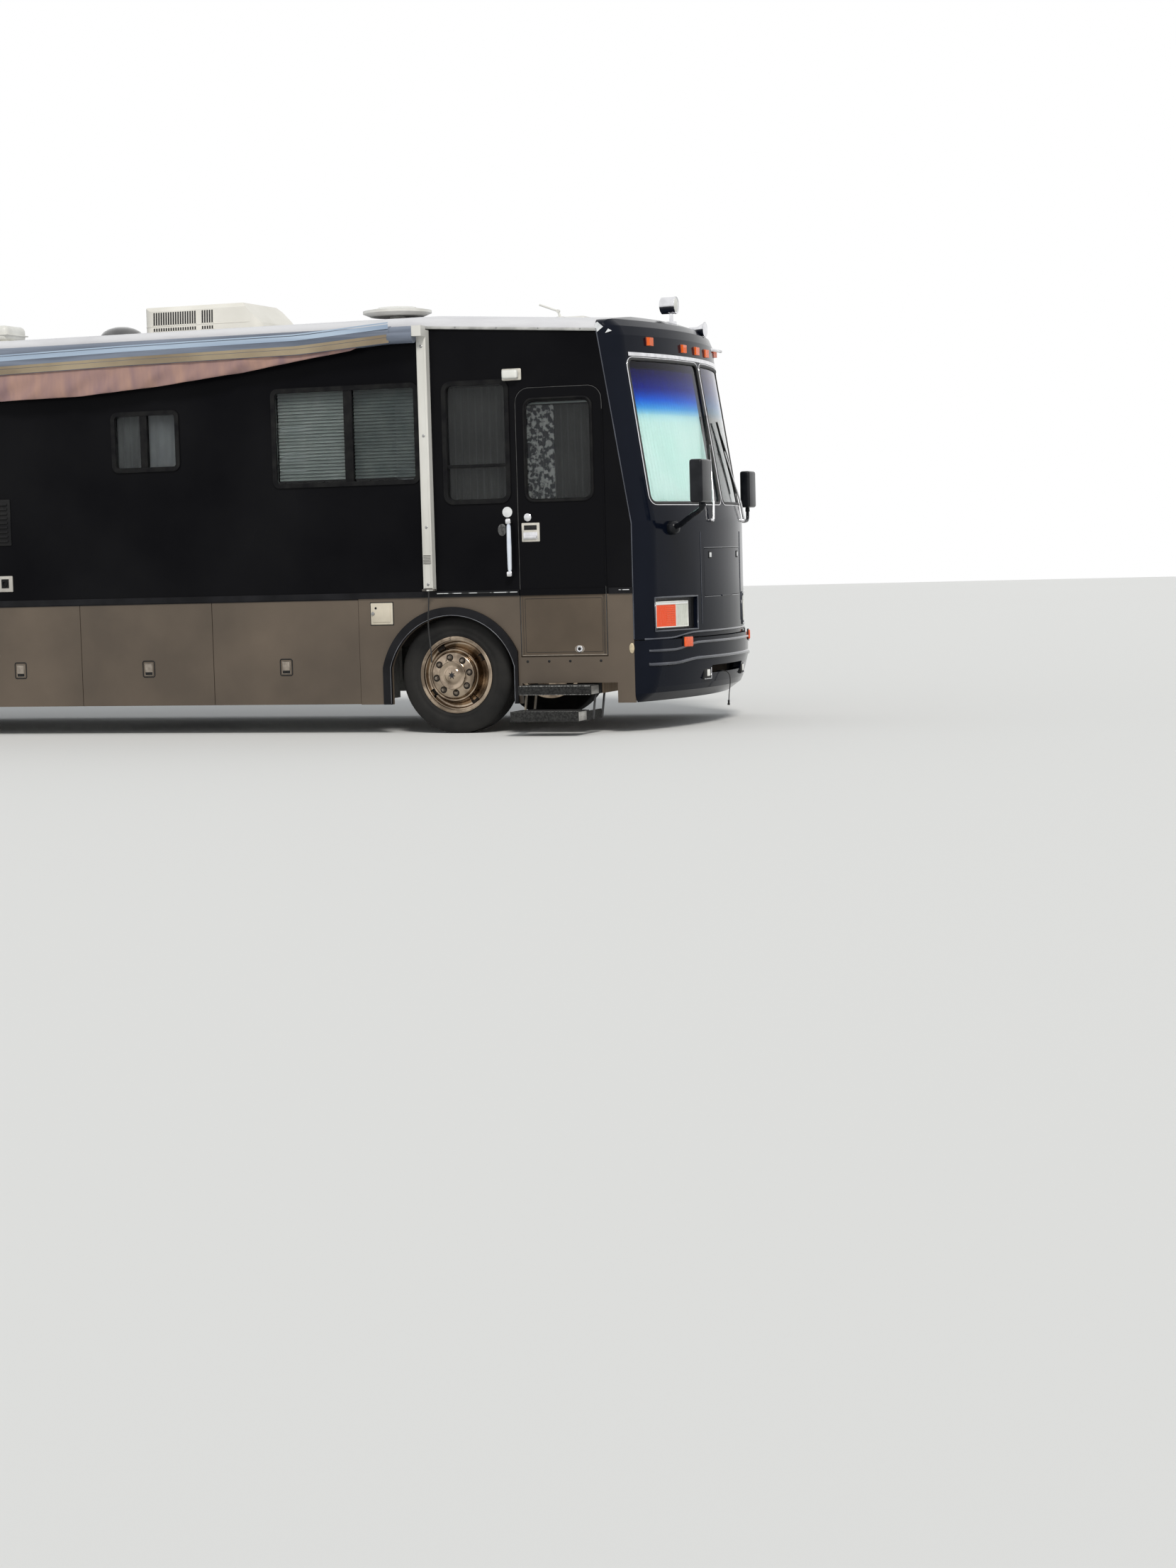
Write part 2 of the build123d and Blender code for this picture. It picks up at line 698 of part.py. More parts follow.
for name, y in zip(("step_links_outer", "step_links_inner"), link_pivots):
    low_y = y - link_lean
    bars = []
    for x0, out in ((link_x[0], -1.0), (link_x[1], 1.0)):
        outer_face = x0 if out < 0 else x0 + plate
        inner_face = x0 + plate if out < 0 else x0
        bars.append(joined([
            link_bar(x0, x0 + plate, y),
            rod((outer_face, y, link_upper_z), (outer_face + out * plate, y, link_upper_z), link_pin_r),
            rod((inner_face, low_y, link_lower_z), (inner_face - out * plate, low_y, link_lower_z), link_pin_r),
        ]))
    save(name, bars[0] + bars[1])

lower_step = joined([
    block(arm_x[0], arm_x[1] + plate, lower_front_y, lower_rear_y, lower_z1 - tread_sheet, lower_z1),
    block(arm_x[0], arm_x[1] + plate, lower_front_y, lower_front_y + tread_sheet, lower_z0, lower_z1),
    block(arm_x[0], arm_x[1] + plate, lower_rear_y - tread_sheet, lower_rear_y, lower_z0, lower_z1),
    block(arm_x[0], arm_x[0] + plate, lower_front_y, arm_rear_y, lower_z0 - 6, arm_z1),
    block(arm_x[1], arm_x[1] + plate, lower_front_y, arm_rear_y, lower_z0 - 6, arm_z1),
])
for y in link_pivots:
    low_y = y - link_lean
    for x0 in (arm_x[0] - 5, arm_x[1] - 5):
        lower_step = lower_step - rod((x0, low_y, link_lower_z), (x0 + plate + 10, low_y, link_lower_z),
                                      link_pin_r + running_clearance)
save("lower_step", lower_step)

# Storage bays: floors, inner walls and bulkheads hung from the deck
bay_outer_y = half_width - skirt_thickness - seal_gap
bay_sides = []
for sign in (-1.0, 1.0):
    y0, y1 = sorted((sign * bay_inner_y, sign * bay_outer_y))
    wall_y0, wall_y1 = sorted((sign * bay_inner_y, sign * (bay_inner_y + bay_sheet)))
    walls = [
        block(bay_rear_x - bay_sheet, bay_front_x + bay_sheet, y0, y1, bay_floor_z, bay_floor_z + bay_sheet),
        block(bay_rear_x - bay_sheet, bay_front_x + bay_sheet, wall_y0, wall_y1, bay_floor_z, deck_bottom_z),
        block(bay_rear_x - bay_sheet, bay_rear_x, y0, y1, bay_floor_z, deck_bottom_z),
        block(bay_front_x, bay_front_x + bay_sheet, y0, y1, bay_floor_z, deck_bottom_z),
    ]
    for x0, x1 in bays[1:]:
        walls.append(block(x0 - bay_sheet / 2, x0 + bay_sheet / 2, y0, y1, bay_floor_z, deck_bottom_z))
    bay_sides.append(joined(walls))
save("bay_structure", bay_sides[0] + bay_sides[1])

# Chassis: two deep rails with stands up to the deck, cross members set between them, and the
# tow receiver on its own beam under the rails' rear ends
receiver_half = 25.5
receiver_wall = 6.5
receiver_depth = 230.0
hitch_z = 350.0
hitch_pin_r = 8.0
hitch_pin_x = -end_limit_x + 65.0
hitch_beam_x0, hitch_beam_x1 = -5340.0, -5260.0
hitch_beam_height = 60.0
rail_x0, rail_x1 = rear_face_x + rear_wall + 20, 5240.0
rail_inner_y = rail_y - rail_width / 2
cross_half_x, cross_drop, cross_height = 35.0, 20.0, 150.0
stand_half_x = 60.0
rear_stand_x = -5300.0
cross_places = (-3300.0, -1600.0, 300.0, 2450.0, 4300.0, 4900.0)
tube = receiver_half + receiver_wall
frame_pieces = []
for sign in (-1, 1):
    y = sign * rail_y
    y0, y1 = y - rail_width / 2, y + rail_width / 2
    rail = block(rail_x0, rail_x1, y0, y1, rail_bottom_z, rail_top_z)
    for x in (rear_stand_x,) + cross_places:
        rail = rail + block(x - stand_half_x, x + stand_half_x, y0, y1, rail_top_z, deck_bottom_z)
    frame_pieces.append(rail)
for x in cross_places:
    cross_y = rail_inner_y - seat_gap
    cross_top = rail_top_z - cross_drop
    cross_bottom = cross_top - cross_height
    frame_pieces.append(block(x - cross_half_x, x + cross_half_x, -cross_y, cross_y, cross_bottom, cross_top))
hitch = block(hitch_beam_x0, hitch_beam_x1, -rail_y, rail_y, hitch_z + tube - 5, hitch_z + tube + hitch_beam_height)
for sign in (-1, 1):
    hitch = hitch + block(hitch_beam_x0, hitch_beam_x1, sign * rail_y - 30, sign * rail_y + 30, hitch_z + tube,
                          rail_bottom_z - seat_gap)
hitch = hitch + block(-end_limit_x, hitch_beam_x1 + 40, -tube, tube, hitch_z - tube, hitch_z + tube)
hitch = hitch - block(-end_limit_x - 1, -end_limit_x + receiver_depth, -receiver_half, receiver_half,
                      hitch_z - receiver_half, hitch_z + receiver_half)
hitch = hitch - rod((hitch_pin_x, -60, hitch_z), (hitch_pin_x, 60, hitch_z), hitch_pin_r)
frame_pieces.append(hitch)
save("chassis_frame", joined(frame_pieces))

# Wheels: sizes shared by tyres, rims, knuckles and axles
tyre_r = 455.0
axle_z = tyre_r
tyre_width = 250.0
bead_seat_r = 286.0
flange_r = 298.5
front_wheel_y = 1040.0
dual_outer_y = 1010.0
dual_spacing = 320.0
lug_circle_r = 137.5
lug_count = 8
lug_r = 17.0
hand_hole_count = 4
hand_hole_r = 205.0
kingpin_y = 870.0
kingpin_r = 20.0
spindle_r = 35.0
rear_spindle_r = 45.0

# Front axle: a dropped beam with a kingpin eye at each end, on leaf springs under the rails
eye_r = 42.0
eye_height = 110.0
ear = 30.0
beam_z = axle_z
spring_reach = 620.0
spring_thickness = 55.0


def leaf_spring(y):
    """A bowed spring whose ends meet the rail and whose middle sits on the beam."""
    low_z = beam_z + 30
    with BuildPart() as spring:
        with BuildSketch(Plane.XZ.offset(-y - 35)):
            with BuildLine():
                x0, x1 = front_axle_x - spring_reach, front_axle_x + spring_reach
                ThreePointArc((x0, rail_bottom_z), (front_axle_x, low_z), (x1, rail_bottom_z))
                Line((x1, rail_bottom_z), (x1 - 70, rail_bottom_z))
                ThreePointArc((x1 - 70, rail_bottom_z), (front_axle_x, low_z + spring_thickness),
                              (x0 + 70, rail_bottom_z))
                Line((x0 + 70, rail_bottom_z), (x0, rail_bottom_z))
            make_face()
        extrude(amount=70)
    return spring.part


eyes = []
for sign in (-1, 1):
    eyes.append(Cylinder(eye_r, eye_height).moved(Location((front_axle_x, sign * kingpin_y, axle_z))))
front_axle = joined(
    [block(front_axle_x - 45, front_axle_x + 45, -kingpin_y, kingpin_y, beam_z - 40, beam_z + 40)] + eyes
    + [leaf_spring(-rail_y), leaf_spring(rail_y)]
)
for sign in (-1, 1):
    bore = Cylinder(kingpin_r + running_clearance, 2 * eye_height)
    front_axle = front_axle - bore.moved(Location((front_axle_x, sign * kingpin_y, axle_z)))
save("front_axle", front_axle)

# Knuckles: two ears round the eye, the kingpin and the wheel's spindle
for side in sides:
    sign = side_sign(side)
    y = sign * kingpin_y
    web_y0, web_y1 = sorted((y + sign * 60, y + sign * 90))
    web_half_z = eye_height / 2 + seat_gap + ear
    pieces = [Cylinder(kingpin_r, 2 * web_half_z).moved(Location((front_axle_x, y, axle_z)))]
    for z in (axle_z + eye_height / 2 + seat_gap + ear / 2, axle_z - eye_height / 2 - seat_gap - ear / 2):
        pieces.append(Cylinder(eye_r, ear).moved(Location((front_axle_x, y, z))))
        ear_y0, ear_y1 = sorted((y, y + sign * 70))
        pieces.append(block(
            front_axle_x - eye_r, front_axle_x + eye_r, ear_y0, ear_y1, z - ear / 2, z + ear / 2
        ))
    pieces.append(block(
        front_axle_x - 75, front_axle_x + 75, web_y0, web_y1, axle_z - web_half_z, axle_z + web_half_z
    ))
    pieces.append(rod((front_axle_x, y + sign * 88, axle_z), (front_axle_x, y + sign * 190, axle_z), spindle_r))
    save(f"knuckle_{side}", joined(pieces))


def tyre(x, y):
    """A tyre with a flat tread, sloping shoulders and its beads on the rim."""
    half = tyre_width / 2
    # Radius, distance from the middle
    profile = [
        (bead_seat_r + seat_gap, 97.0),
        (bead_seat_r + 55, 119.0),
        (tyre_r - 80, half),
        (tyre_r - 26, half - 10),
        (tyre_r, half - 32),
    ]
    points = [(r, -w) for r, w in profile] + [(r, w) for r, w in reversed(profile)]
    with BuildPart() as ring:
        with BuildSketch(Plane.XY):
            with BuildLine():
                Polyline(*points, close=True)
            make_face()
        revolve(axis=Axis.Y)
    return ring.part.moved(Location((x, y, axle_z)))


def rim(x, y, disc_y, sign, spindle, hub_inside, hub_outside):
    """A rim at y with its disc at disc_y; sign points outwards, the hub bore opens inwards."""
    half = tyre_width / 2 - 20
    with BuildPart() as barrel:
        with BuildSketch(Plane.XY):
            with BuildLine():
                Polyline(
                    (bead_seat_r, -half + 7),
                    (flange_r, -half - 3),
                    (flange_r, -half - 11),
                    (bead_seat_r - 14, -half - 11),
                    (bead_seat_r - 14, half + 11),
                    (flange_r, half + 11),
                    (flange_r, half + 3),
                    (bead_seat_r, half - 7),
                    close=True,
                )
            make_face()
        revolve(axis=Axis.Y)
    local_y = disc_y - y
    face_y = local_y + sign * 16
    wheel = joined([
        barrel.part,
        rod((0, local_y, 0), (0, face_y, 0), bead_seat_r - 5),
        rod((0, local_y - sign * hub_inside, 0), (0, local_y + sign * hub_outside, 0), 105.0),
    ])
    if abs(local_y) > half:
        barrel_near = math.copysign(half + 5, local_y)
        collar = rod((0, barrel_near, 0), (0, local_y, 0), bead_seat_r - 5)
        collar = collar - rod((0, barrel_near, 0), (0, local_y, 0), bead_seat_r - 24)
        wheel = wheel + collar
    for k in range(hand_hole_count):
        angle = math.radians(34 + k * 360 / hand_hole_count)
        hole_x, hole_z = hand_hole_r * math.cos(angle), hand_hole_r * math.sin(angle)
        wheel = wheel - rod((hole_x, local_y - sign * 20, hole_z), (hole_x, face_y + sign * 20, hole_z), 36.0)
    if hub_outside > 20:
        for k in range(lug_count):
            angle = math.radians(22.5 + k * 360 / lug_count)
            lug_x, lug_z = lug_circle_r * math.cos(angle), lug_circle_r * math.sin(angle)
            wheel = wheel + rod((lug_x, face_y, lug_z), (lug_x, face_y + sign * 26, lug_z), lug_r)
    inner_face = local_y - sign * hub_inside
    bore = rod((0, inner_face - sign, 0), (0, spindle[1] - y, 0), spindle[0] + running_clearance)
    return (wheel - bore).moved(Location((x, y, axle_z)))


front_hub_inside = 100.0
rear_tip_y = 880.0
for side in sides:
    sign = side_sign(side)
    save(f"front_tyre_{side}", tyre(front_axle_x, sign * front_wheel_y))
    disc_y = sign * (front_wheel_y + 50)
    tip_y = sign * (kingpin_y + 190 + 1)
    save(f"front_rim_{side}", rim(front_axle_x, sign * front_wheel_y, disc_y, sign, (spindle_r, tip_y),
                                  front_hub_inside, 62.0))
    outer_y, in_y = sign * dual_outer_y, sign * (dual_outer_y - dual_spacing)
    save(f"rear_tyres_{side}", tyre(rear_axle_x, outer_y) + tyre(rear_axle_x, in_y))
    middle_y = sign * (dual_outer_y - dual_spacing / 2)
    rear_spindle = (rear_spindle_r, sign * (rear_tip_y + 1))
    save(f"rear_rims_{side}", rim(rear_axle_x, outer_y, middle_y, sign, rear_spindle, 16.0, 130.0)
         + rim(rear_axle_x, in_y, middle_y - sign * 16, sign, rear_spindle, 100.0, 16.0))

# Rear axle: tube with the final drive, spindles into the hubs, air springs up to the rails
final_drive_r = 190.0
rear_axle = joined([
    rod((rear_axle_x, -560, axle_z), (rear_axle_x, 560, axle_z), 70.0),
    rod((rear_axle_x, -rear_tip_y, axle_z), (rear_axle_x, rear_tip_y, axle_z), rear_spindle_r),
    Sphere(final_drive_r).moved(Location((rear_axle_x, 0, axle_z))),
    rod((rear_axle_x, -rail_y, axle_z), (rear_axle_x, -rail_y, rail_bottom_z), 60.0),
    rod((rear_axle_x, rail_y, axle_z), (rear_axle_x, rail_y, rail_bottom_z), 60.0),
])
save("rear_axle", rear_axle)

# Engine with its muffler and tailpipe: one plain block between the rails
engine_x0, engine_x1 = -5150.0, -3900.0
engine = joined([
    block(engine_x0, engine_x1, -rail_y + 40 + seat_gap, rail_y - 40 - seat_gap, 480, 960),
    rod((-4500, 380, 560), (-4500, tailpipe_y, 560), 40.0),
    rod((-4700, tailpipe_y, 560), (-3800, tailpipe_y, 560), 110.0),
    rod((-4640, tailpipe_y, tailpipe_z), (-5590, tailpipe_y, tailpipe_z), tailpipe_r),
])
save("engine", engine)

# Tanks between the rails, hung from the cross members
tank_half = rail_y - rail_width / 2 - 15
tank_top_z = rail_top_z - 170
tanks = [
    block(-1500, 200, -tank_half, tank_half, 330, tank_top_z - seat_gap)
    + block(-1590, -1500, -200, 200, 600, tank_top_z - seat_gap)
    + block(200, 290, -200, 200, 600, tank_top_z - seat_gap),
    block(900, 2360, -tank_half, tank_half, 330, tank_top_z - seat_gap)
    + block(2360, 2440, -200, 200, 600, tank_top_z - seat_gap),
]
save("tanks", tanks[0] + tanks[1])

# Roof air units with sloping noses and rounded corners: front x, length, nose length
air_units = [(1530.0, 1105.0, 190.0), (-2380.0, 1105.0, 190.0)]
air_corner = 100.0
air_half = 350.0
air_height = 222.0
units = []
for front_x, length, nose in air_units:
    z = roof_top_at(front_x, air_half) - 3
    with BuildPart() as unit:
        with BuildSketch(Plane.XZ.offset(-air_half)) as outline:
            with BuildLine():
                Polyline(
                    (front_x - length, z),
                    (front_x - length, z + air_height - 30),
                    (front_x - length + 30, z + air_height),
                    (front_x - nose, z + air_height),
                    (front_x - 25, z + 55),
                    (front_x, z),
                    close=True,
                )
            make_face()
        extrude(amount=2 * air_half)
        chamfer(unit.faces().group_by(Axis.Z)[-1].edges().filter_by(Axis.X), 35)
        with BuildSketch(Plane.XY.offset(z)) as plan:
            with Locations((front_x - length / 2, 0)):
                RectangleRounded(length, 2 * air_half, air_corner)
        extrude(amount=air_height, mode=Mode.INTERSECT)
    units.append(unit.part)
roof_clear = roof_form(-seat_gap)
save("roof_air_units", (units[0] + units[1]) - roof_clear)

# Roof vents: dark dome, white cover, rear dome; centre x, centre y, half length, half width, height
vents = [
    (225.0, -300.0, 150.0, 150.0, 85.0),
    (-938.0, -380.0, 190.0, 170.0, 150.0),
    (4000.0, 300.0, 150.0, 150.0, 60.0),
]
covers = []
for x, y, half_x, half_y, height in vents:
    z = roof_top_at(x + half_x, abs(y) + half_y) - 3
    with BuildPart() as cover:
        with BuildSketch(Plane.XY.offset(z)):
            with Locations((x, y)):
                RectangleRounded(2 * half_x, 2 * half_y, 50)
        extrude(amount=height, taper=12)
    covers.append(cover.part)
save("roof_vents", joined(covers) - roof_clear)

# Roof antennas: a flat round one on a short foot, and a folded rod
disc_x, disc_y0, disc_r, disc_height = 2774.0, -450.0, 275.0, 75.0
foot_z = roof_top_at(disc_x, abs(disc_y0) + 60) - 3
disc_z = 3290.0
with BuildPart() as disc:
    with BuildSketch(Plane.XZ):
        with BuildLine():
            Polyline(
                (0, 0),
                (disc_r - 60, 0),
                (disc_r, 25),
                (disc_r, 45),
                (disc_r - 120, disc_height - 8),
                (0, disc_height),
                close=True,
            )
        make_face()
    revolve(axis=Axis.Z)
round_antenna = disc.part.moved(Location((disc_x, disc_y0, disc_z)))
round_antenna = round_antenna + rod((disc_x, disc_y0, foot_z), (disc_x, disc_y0, disc_z + 10), 60.0)
fold_y = -300.0
fold_z = roof_top_at(4135.0, abs(fold_y) + 30) - 3
folded_rod = joined([
    rod((4105, fold_y, fold_z), (4105, fold_y, fold_z + 14), 30.0),
    rod((4104, fold_y, fold_z + 8), (4088, fold_y, fold_z + 60), 9.0),
    rod((4088, fold_y - 14, fold_z + 58), (4088, fold_y + 14, fold_z + 58), 13.0),
    rod((4088, fold_y, fold_z + 58), (3932, fold_y, fold_z + 116), 8.0),
])
save("roof_antennas", (round_antenna + folded_rod) - roof_clear)

# Awning: roller with its case, arms on the wall, and the sagging fabric
awning_x0, awning_x1 = -2437.0, 3283.0
roller_y, roller_z, roller_r = -1333.0, 3095.0, 46.0
case_z0 = 2915.0
# Lower edge of the case, front to back: x, height
case_line = [(3095.0, 3011.0), (2325.0, 2959.0), (814.0, 2946.0), (-326.0, 2924.0), (-2397.0, 2930.0)]
arm_width, arm_outer_y = 78.0, -1285.0
with BuildPart() as case:
    with BuildSketch(Plane.YZ.offset(awning_x0 + 40)):
        with BuildLine():
            Line((-1298, case_z0), (-1372, case_z0))
            Line((-1372, case_z0), (-1379, roller_z))
            ThreePointArc((-1379, roller_z), (roller_y, roller_z + roller_r), (-1288, roller_z))
            Line((-1288, roller_z), (-1298, case_z0))
        make_face()
    extrude(amount=case_line[0][0] - awning_x0 - 40)
    with BuildSketch(Plane.XZ.offset(1400)) as above_edge:
        with BuildLine():
            Polyline(*case_line, (case_line[-1][0], 3200), (case_line[0][0], 3200), close=True)
        make_face()
    extrude(amount=-200, mode=Mode.INTERSECT)
# The cloth rolled up ahead of the case is thicker than the bare tube
roll_z, roll_r = 3058.0, 52.0
roller = joined([
    case.part,
    rod((awning_x0, roller_y, roller_z), (awning_x1, roller_y, roller_z), roller_r - 4),
    rod((case_line[0][0] - 15, roller_y, roll_z), (awning_x1, roller_y, roll_z), roll_r),
])
save("awning_roller", roller)
arms = []
for x in (3322.0, -2476.0):
    arm = block(x - arm_width / 2, x + arm_width / 2, arm_outer_y, -half_width, 1110, 3105)
    head = block(x - arm_width / 2, x + arm_width / 2, -1375, arm_outer_y, roller_z - 40, roller_z + 40)
    arms.append(arm + head)
# A small hook stands out from the front arm's foot, and the strap hangs from its end
strap_x, strap_y = 3355.0, -1358.0
hook = block(strap_x - 14, strap_x + 6, strap_y - 8, arm_outer_y, 1110, 1121)
save("awning_arms", joined([arms[0] + hook, arms[1]]))
# Bottom edge of the fabric: x, height
sag = [
    (2752.0, 2971.0),
    (2535.0, 2943.0),
    (2310.0, 2914.0),
    (1824.0, 2848.0),
    (1161.0, 2780.0),
    (412.0, 2726.0),
    (-354.0, 2716.0),
    (-1900.0, 2770.0),
    (-2300.0, 2890.0),
]
cloth_x0, cloth_x1 = -2380.0, 2810.0


def case_edge(x):
    """Height of the case's lower edge at a place along it."""
    for (x1, z1), (x0, z0) in zip(case_line, case_line[1:]):
        if x >= x0:
            return z0 + (z1 - z0) * (x - x0) / (x1 - x0)
    return case_line[-1][1]


cloth_top = [(cloth_x0, case_edge(cloth_x0) - seat_gap)]
cloth_top = cloth_top + [(x, z - seat_gap) for x, z in reversed(case_line[1:-1])]
cloth_top = cloth_top + [(cloth_x1, case_edge(cloth_x1) - seat_gap)]
with BuildPart() as fabric:
    with BuildSketch(Plane.XZ.offset(1372)):
        with BuildLine():
            Polyline(*sag, *cloth_top, close=True)
        make_face()
    extrude(amount=-66)
save("awning_fabric", fabric.part)

# Strap hanging from the hook
strap_d = 10.0
strap_points = [
    (strap_x, strap_y, 1109.5),
    (strap_x - 2, strap_y - 1, 1000),
    (strap_x - 14, strap_y, 880),
    (strap_x - 6, strap_y - 2, 760),
    (strap_x + 6, strap_y - 1, 650),
    (strap_x + 8, strap_y, 560),
]


def cord(points, diameter):
    """A tube of straight runs joined by arcs as large as the runs allow."""
    places = [Vector(*p) for p in points]
    runs = [(b - a).length for a, b in zip(places, places[1:])]
    radii = []
    for k in range(1, len(places) - 1):
        turn = math.radians((places[k] - places[k - 1]).get_angle(places[k + 1] - places[k]))
        radii.append(0.45 * min(runs[k - 1], runs[k]) / math.tan(turn / 2))
    print("cord radii", [round(r) for r in radii])
    with BuildPart() as tube_part:
        with BuildLine() as route:
            FilletPolyline(*points, radius=radii)
        with BuildSketch(Plane(origin=points[0], z_dir=places[1] - places[0])):
            Circle(diameter / 2)
        sweep(path=route.wires()[0])
    return tube_part.part


save("awning_strap", cord(strap_points, strap_d))

# Cable hanging out of the bumper's slot
cable_d = 8.0
cable_z = slot_z0 + cable_d / 2 + seat_gap
cable_x = nose_at(slot_z0, bumper_profile) - 2
cable_points = [
    (cable_x - 58, -110, cable_z),
    (cable_x + 12, -112, cable_z),
    (cable_x + 42, -111, cable_z - 27),
    (cable_x + 48, -109, cable_z - 75),
    (cable_x + 44, -108, cable_z - 125),
    (cable_x + 36, -110, cable_z - 180),
    (cable_x + 32, -112, cable_z - 245),
]
save("tow_cable", cord(cable_points, cable_d))

# Mirrors: a head ahead of the front corner on the right, one beside the pillar on the left
mirror_r = 22.0
right_head = block(end_limit_x - 100, end_limit_x, -1440, -1180, 1722, 2040)
base_y = -940.0
base_x = nose_at(1536) - bow_at(base_y)
right_mirror = joined([
    right_head,
    rod((base_x - 30, base_y + 4, 1540), (base_x + 62, base_y - 14, 1548), 52.0),
    rod((base_x + 10, base_y - 8, 1536), (end_limit_x - 58, -1250, 1672), mirror_r),
    rod((end_limit_x - 60, -1250, 1650), (end_limit_x - 60, -1250, 1740), mirror_r + 6),
])
left_head_x = 5122.0
left_head = block(left_head_x - 85, left_head_x, side_limit_y - 200, side_limit_y, 1715, 2018)
left_mirror = joined([
    left_head,
    rod((left_head_x - 50, half_width - 25, 1600), (left_head_x - 50, side_limit_y - 98, 1600), mirror_r - 8),
    rod((left_head_x - 50, side_limit_y - 100, 1580), (left_head_x - 50, side_limit_y - 100, 1730), mirror_r - 3),
])
mirrors = (right_mirror + left_mirror) - cap_outer
save("mirrors", mirrors)

# Wipers: pivot y, pivot z, tip y, tip z; each an arm and a blade just off the glass
wipers = [(-330.0, 1600.0, -105.0, 2190.0), (689.0, 1603.0, 312.0, 2150.0)]
wiper_pieces = []


def on_screen(y, z, off):
    return (nose_at(z) - bow_at(y) + off, y, z)


for pivot_y, pivot_z, tip_y, tip_z in wipers:
    knee = on_screen(pivot_y + 0.25 * (tip_y - pivot_y), 1750.0, 34.0)
    pivot = on_screen(pivot_y, pivot_z, 26.0)
    tip = on_screen(tip_y, tip_z, 22.0)
    low_tip = on_screen(pivot_y + 0.45 * (tip_y - pivot_y), tip_z - 330, 22.0)
    wiper_pieces.append(joined([
        rod(on_screen(pivot_y, pivot_z, -25.0), on_screen(pivot_y, pivot_z, 34.0), 16.0),
        rod(pivot, knee, 8.0),
        rod((knee[0] - 10, knee[1], knee[2]), (knee[0] + 10, knee[1], knee[2]), 11.0),
        rod(knee, tip, 8.0),
        rod(low_tip, on_screen(tip_y + 0.2 * (tip_y - pivot_y), tip_z + 230, 22.0), 7.0),
    ]))
save("wipers", joined(wiper_pieces) - cap_outer)

# Lamps: headlamps in their recesses, five brow lamps, rear clusters
lamp_skin = bowed_form(lamp_inset, cap_profile) - bowed_form(lamp_inset + lamp_thickness, cap_profile)
lens_skin = bowed_form(lens_inset, cap_profile) - bowed_form(lamp_inset + lamp_thickness, cap_profile)
lamps = []
for side, sign in zip(sides, (-1, 1)):
    y0, y1 = sorted((sign * lens_y0, sign * lens_y1))
    lens = lens_skin & box_prism(y0, y1, lens_z0, lens_z1, 0.0, 12.0)
    lamps.append((lamp_skin & lamp_prism(side, -seat_gap)) + lens)
brow_lamps = [(-820.0, 2960.0), (-290.0, 2931.0), (0.0, 2929.0), (290.0, 2927.0), (820.0, 2960.0)]
for y, z in brow_lamps:
    x = nose_at(z) - bow_at(y)
    brow_lamp = block(x - 30, x + 18, y - 45, y + 45, z - 30, z + 30)
    lamps.append(brow_lamp - cap_outer)
for sign in (-1, 1):
    lamps.append(block(rear_face_x - 25, rear_face_x - seat_gap, sign * 1020 - 60, sign * 1020 + 60, 900, 1300))
save("lamps", joined(lamps))

# Spotlight on a yoke and a trumpet horn, both on the brow
spot_x, spot_y, spot_z = 4860.0, 144.0, 3310.0
spot_r, spot_length = 67.0, 124.0
horn_y, horn_z = 450.0, 3130.0
horn_x0, horn_x1 = 4930.0, 5064.0
horn_r = 60.0


def cap_top_at(x, y):
    """Height of the brow over a place, from the profile and the crown."""
    for z in range(3210, 2900, -1):
        if nose_at(z) - bow_at(y) >= x:
            break
    edge_y = half_width + roof_overhang
    crown_r = (edge_y * edge_y + roof_crown * roof_crown) / (2 * roof_crown)
    return min(z, roof_edge_front_z + roof_crown - crown_r + math.sqrt(crown_r * crown_r - y * y))


spot_foot_z = cap_top_at(4873.0, spot_y)
spotlight = joined([
    rod((spot_x - spot_length / 2 + 8, spot_y, spot_z), (spot_x + spot_length / 2 - 8, spot_y, spot_z), spot_r),
    rod((spot_x - spot_length / 2, spot_y, spot_z), (spot_x + spot_length / 2, spot_y, spot_z), spot_r - 12),
    rod((spot_x + 20, spot_y, spot_foot_z - 30), (spot_x + 20, spot_y, spot_z - spot_r + 20), 16.0),
    rod((spot_x + 20, spot_y, spot_foot_z - 30), (spot_x + 20, spot_y, spot_foot_z + 12), 42.0),
])
bell = Cone(24.0, horn_r, 70.0).moved(Plane(origin=(horn_x1 - 35, horn_y, horn_z), z_dir=(1, 0, 0)).location)
horn = joined([
    rod((horn_x0, horn_y, horn_z), (horn_x1 - 65, horn_y, horn_z), 24.0),
    bell,
    rod((horn_x0 + 40, horn_y, horn_z - 60), (horn_x0 + 40, horn_y, horn_z), 12.0),
])
save("horn_and_spotlight", (spotlight + horn) - cap_outer)

# Cab: two seats on pedestals, a sofa behind, the dashboard with the steering wheel
def seat(x, y):
    return joined([
        block(x - 150, x + 150, y - 160, y + 160, deck_top_z, deck_top_z + 300),
        block(x - 260, x + 260, y - 260, y + 260, deck_top_z + 300, deck_top_z + 450),
        block(x - 300, x - 170, y - 250, y + 250, deck_top_z + 440, deck_top_z + 1120),
    ])


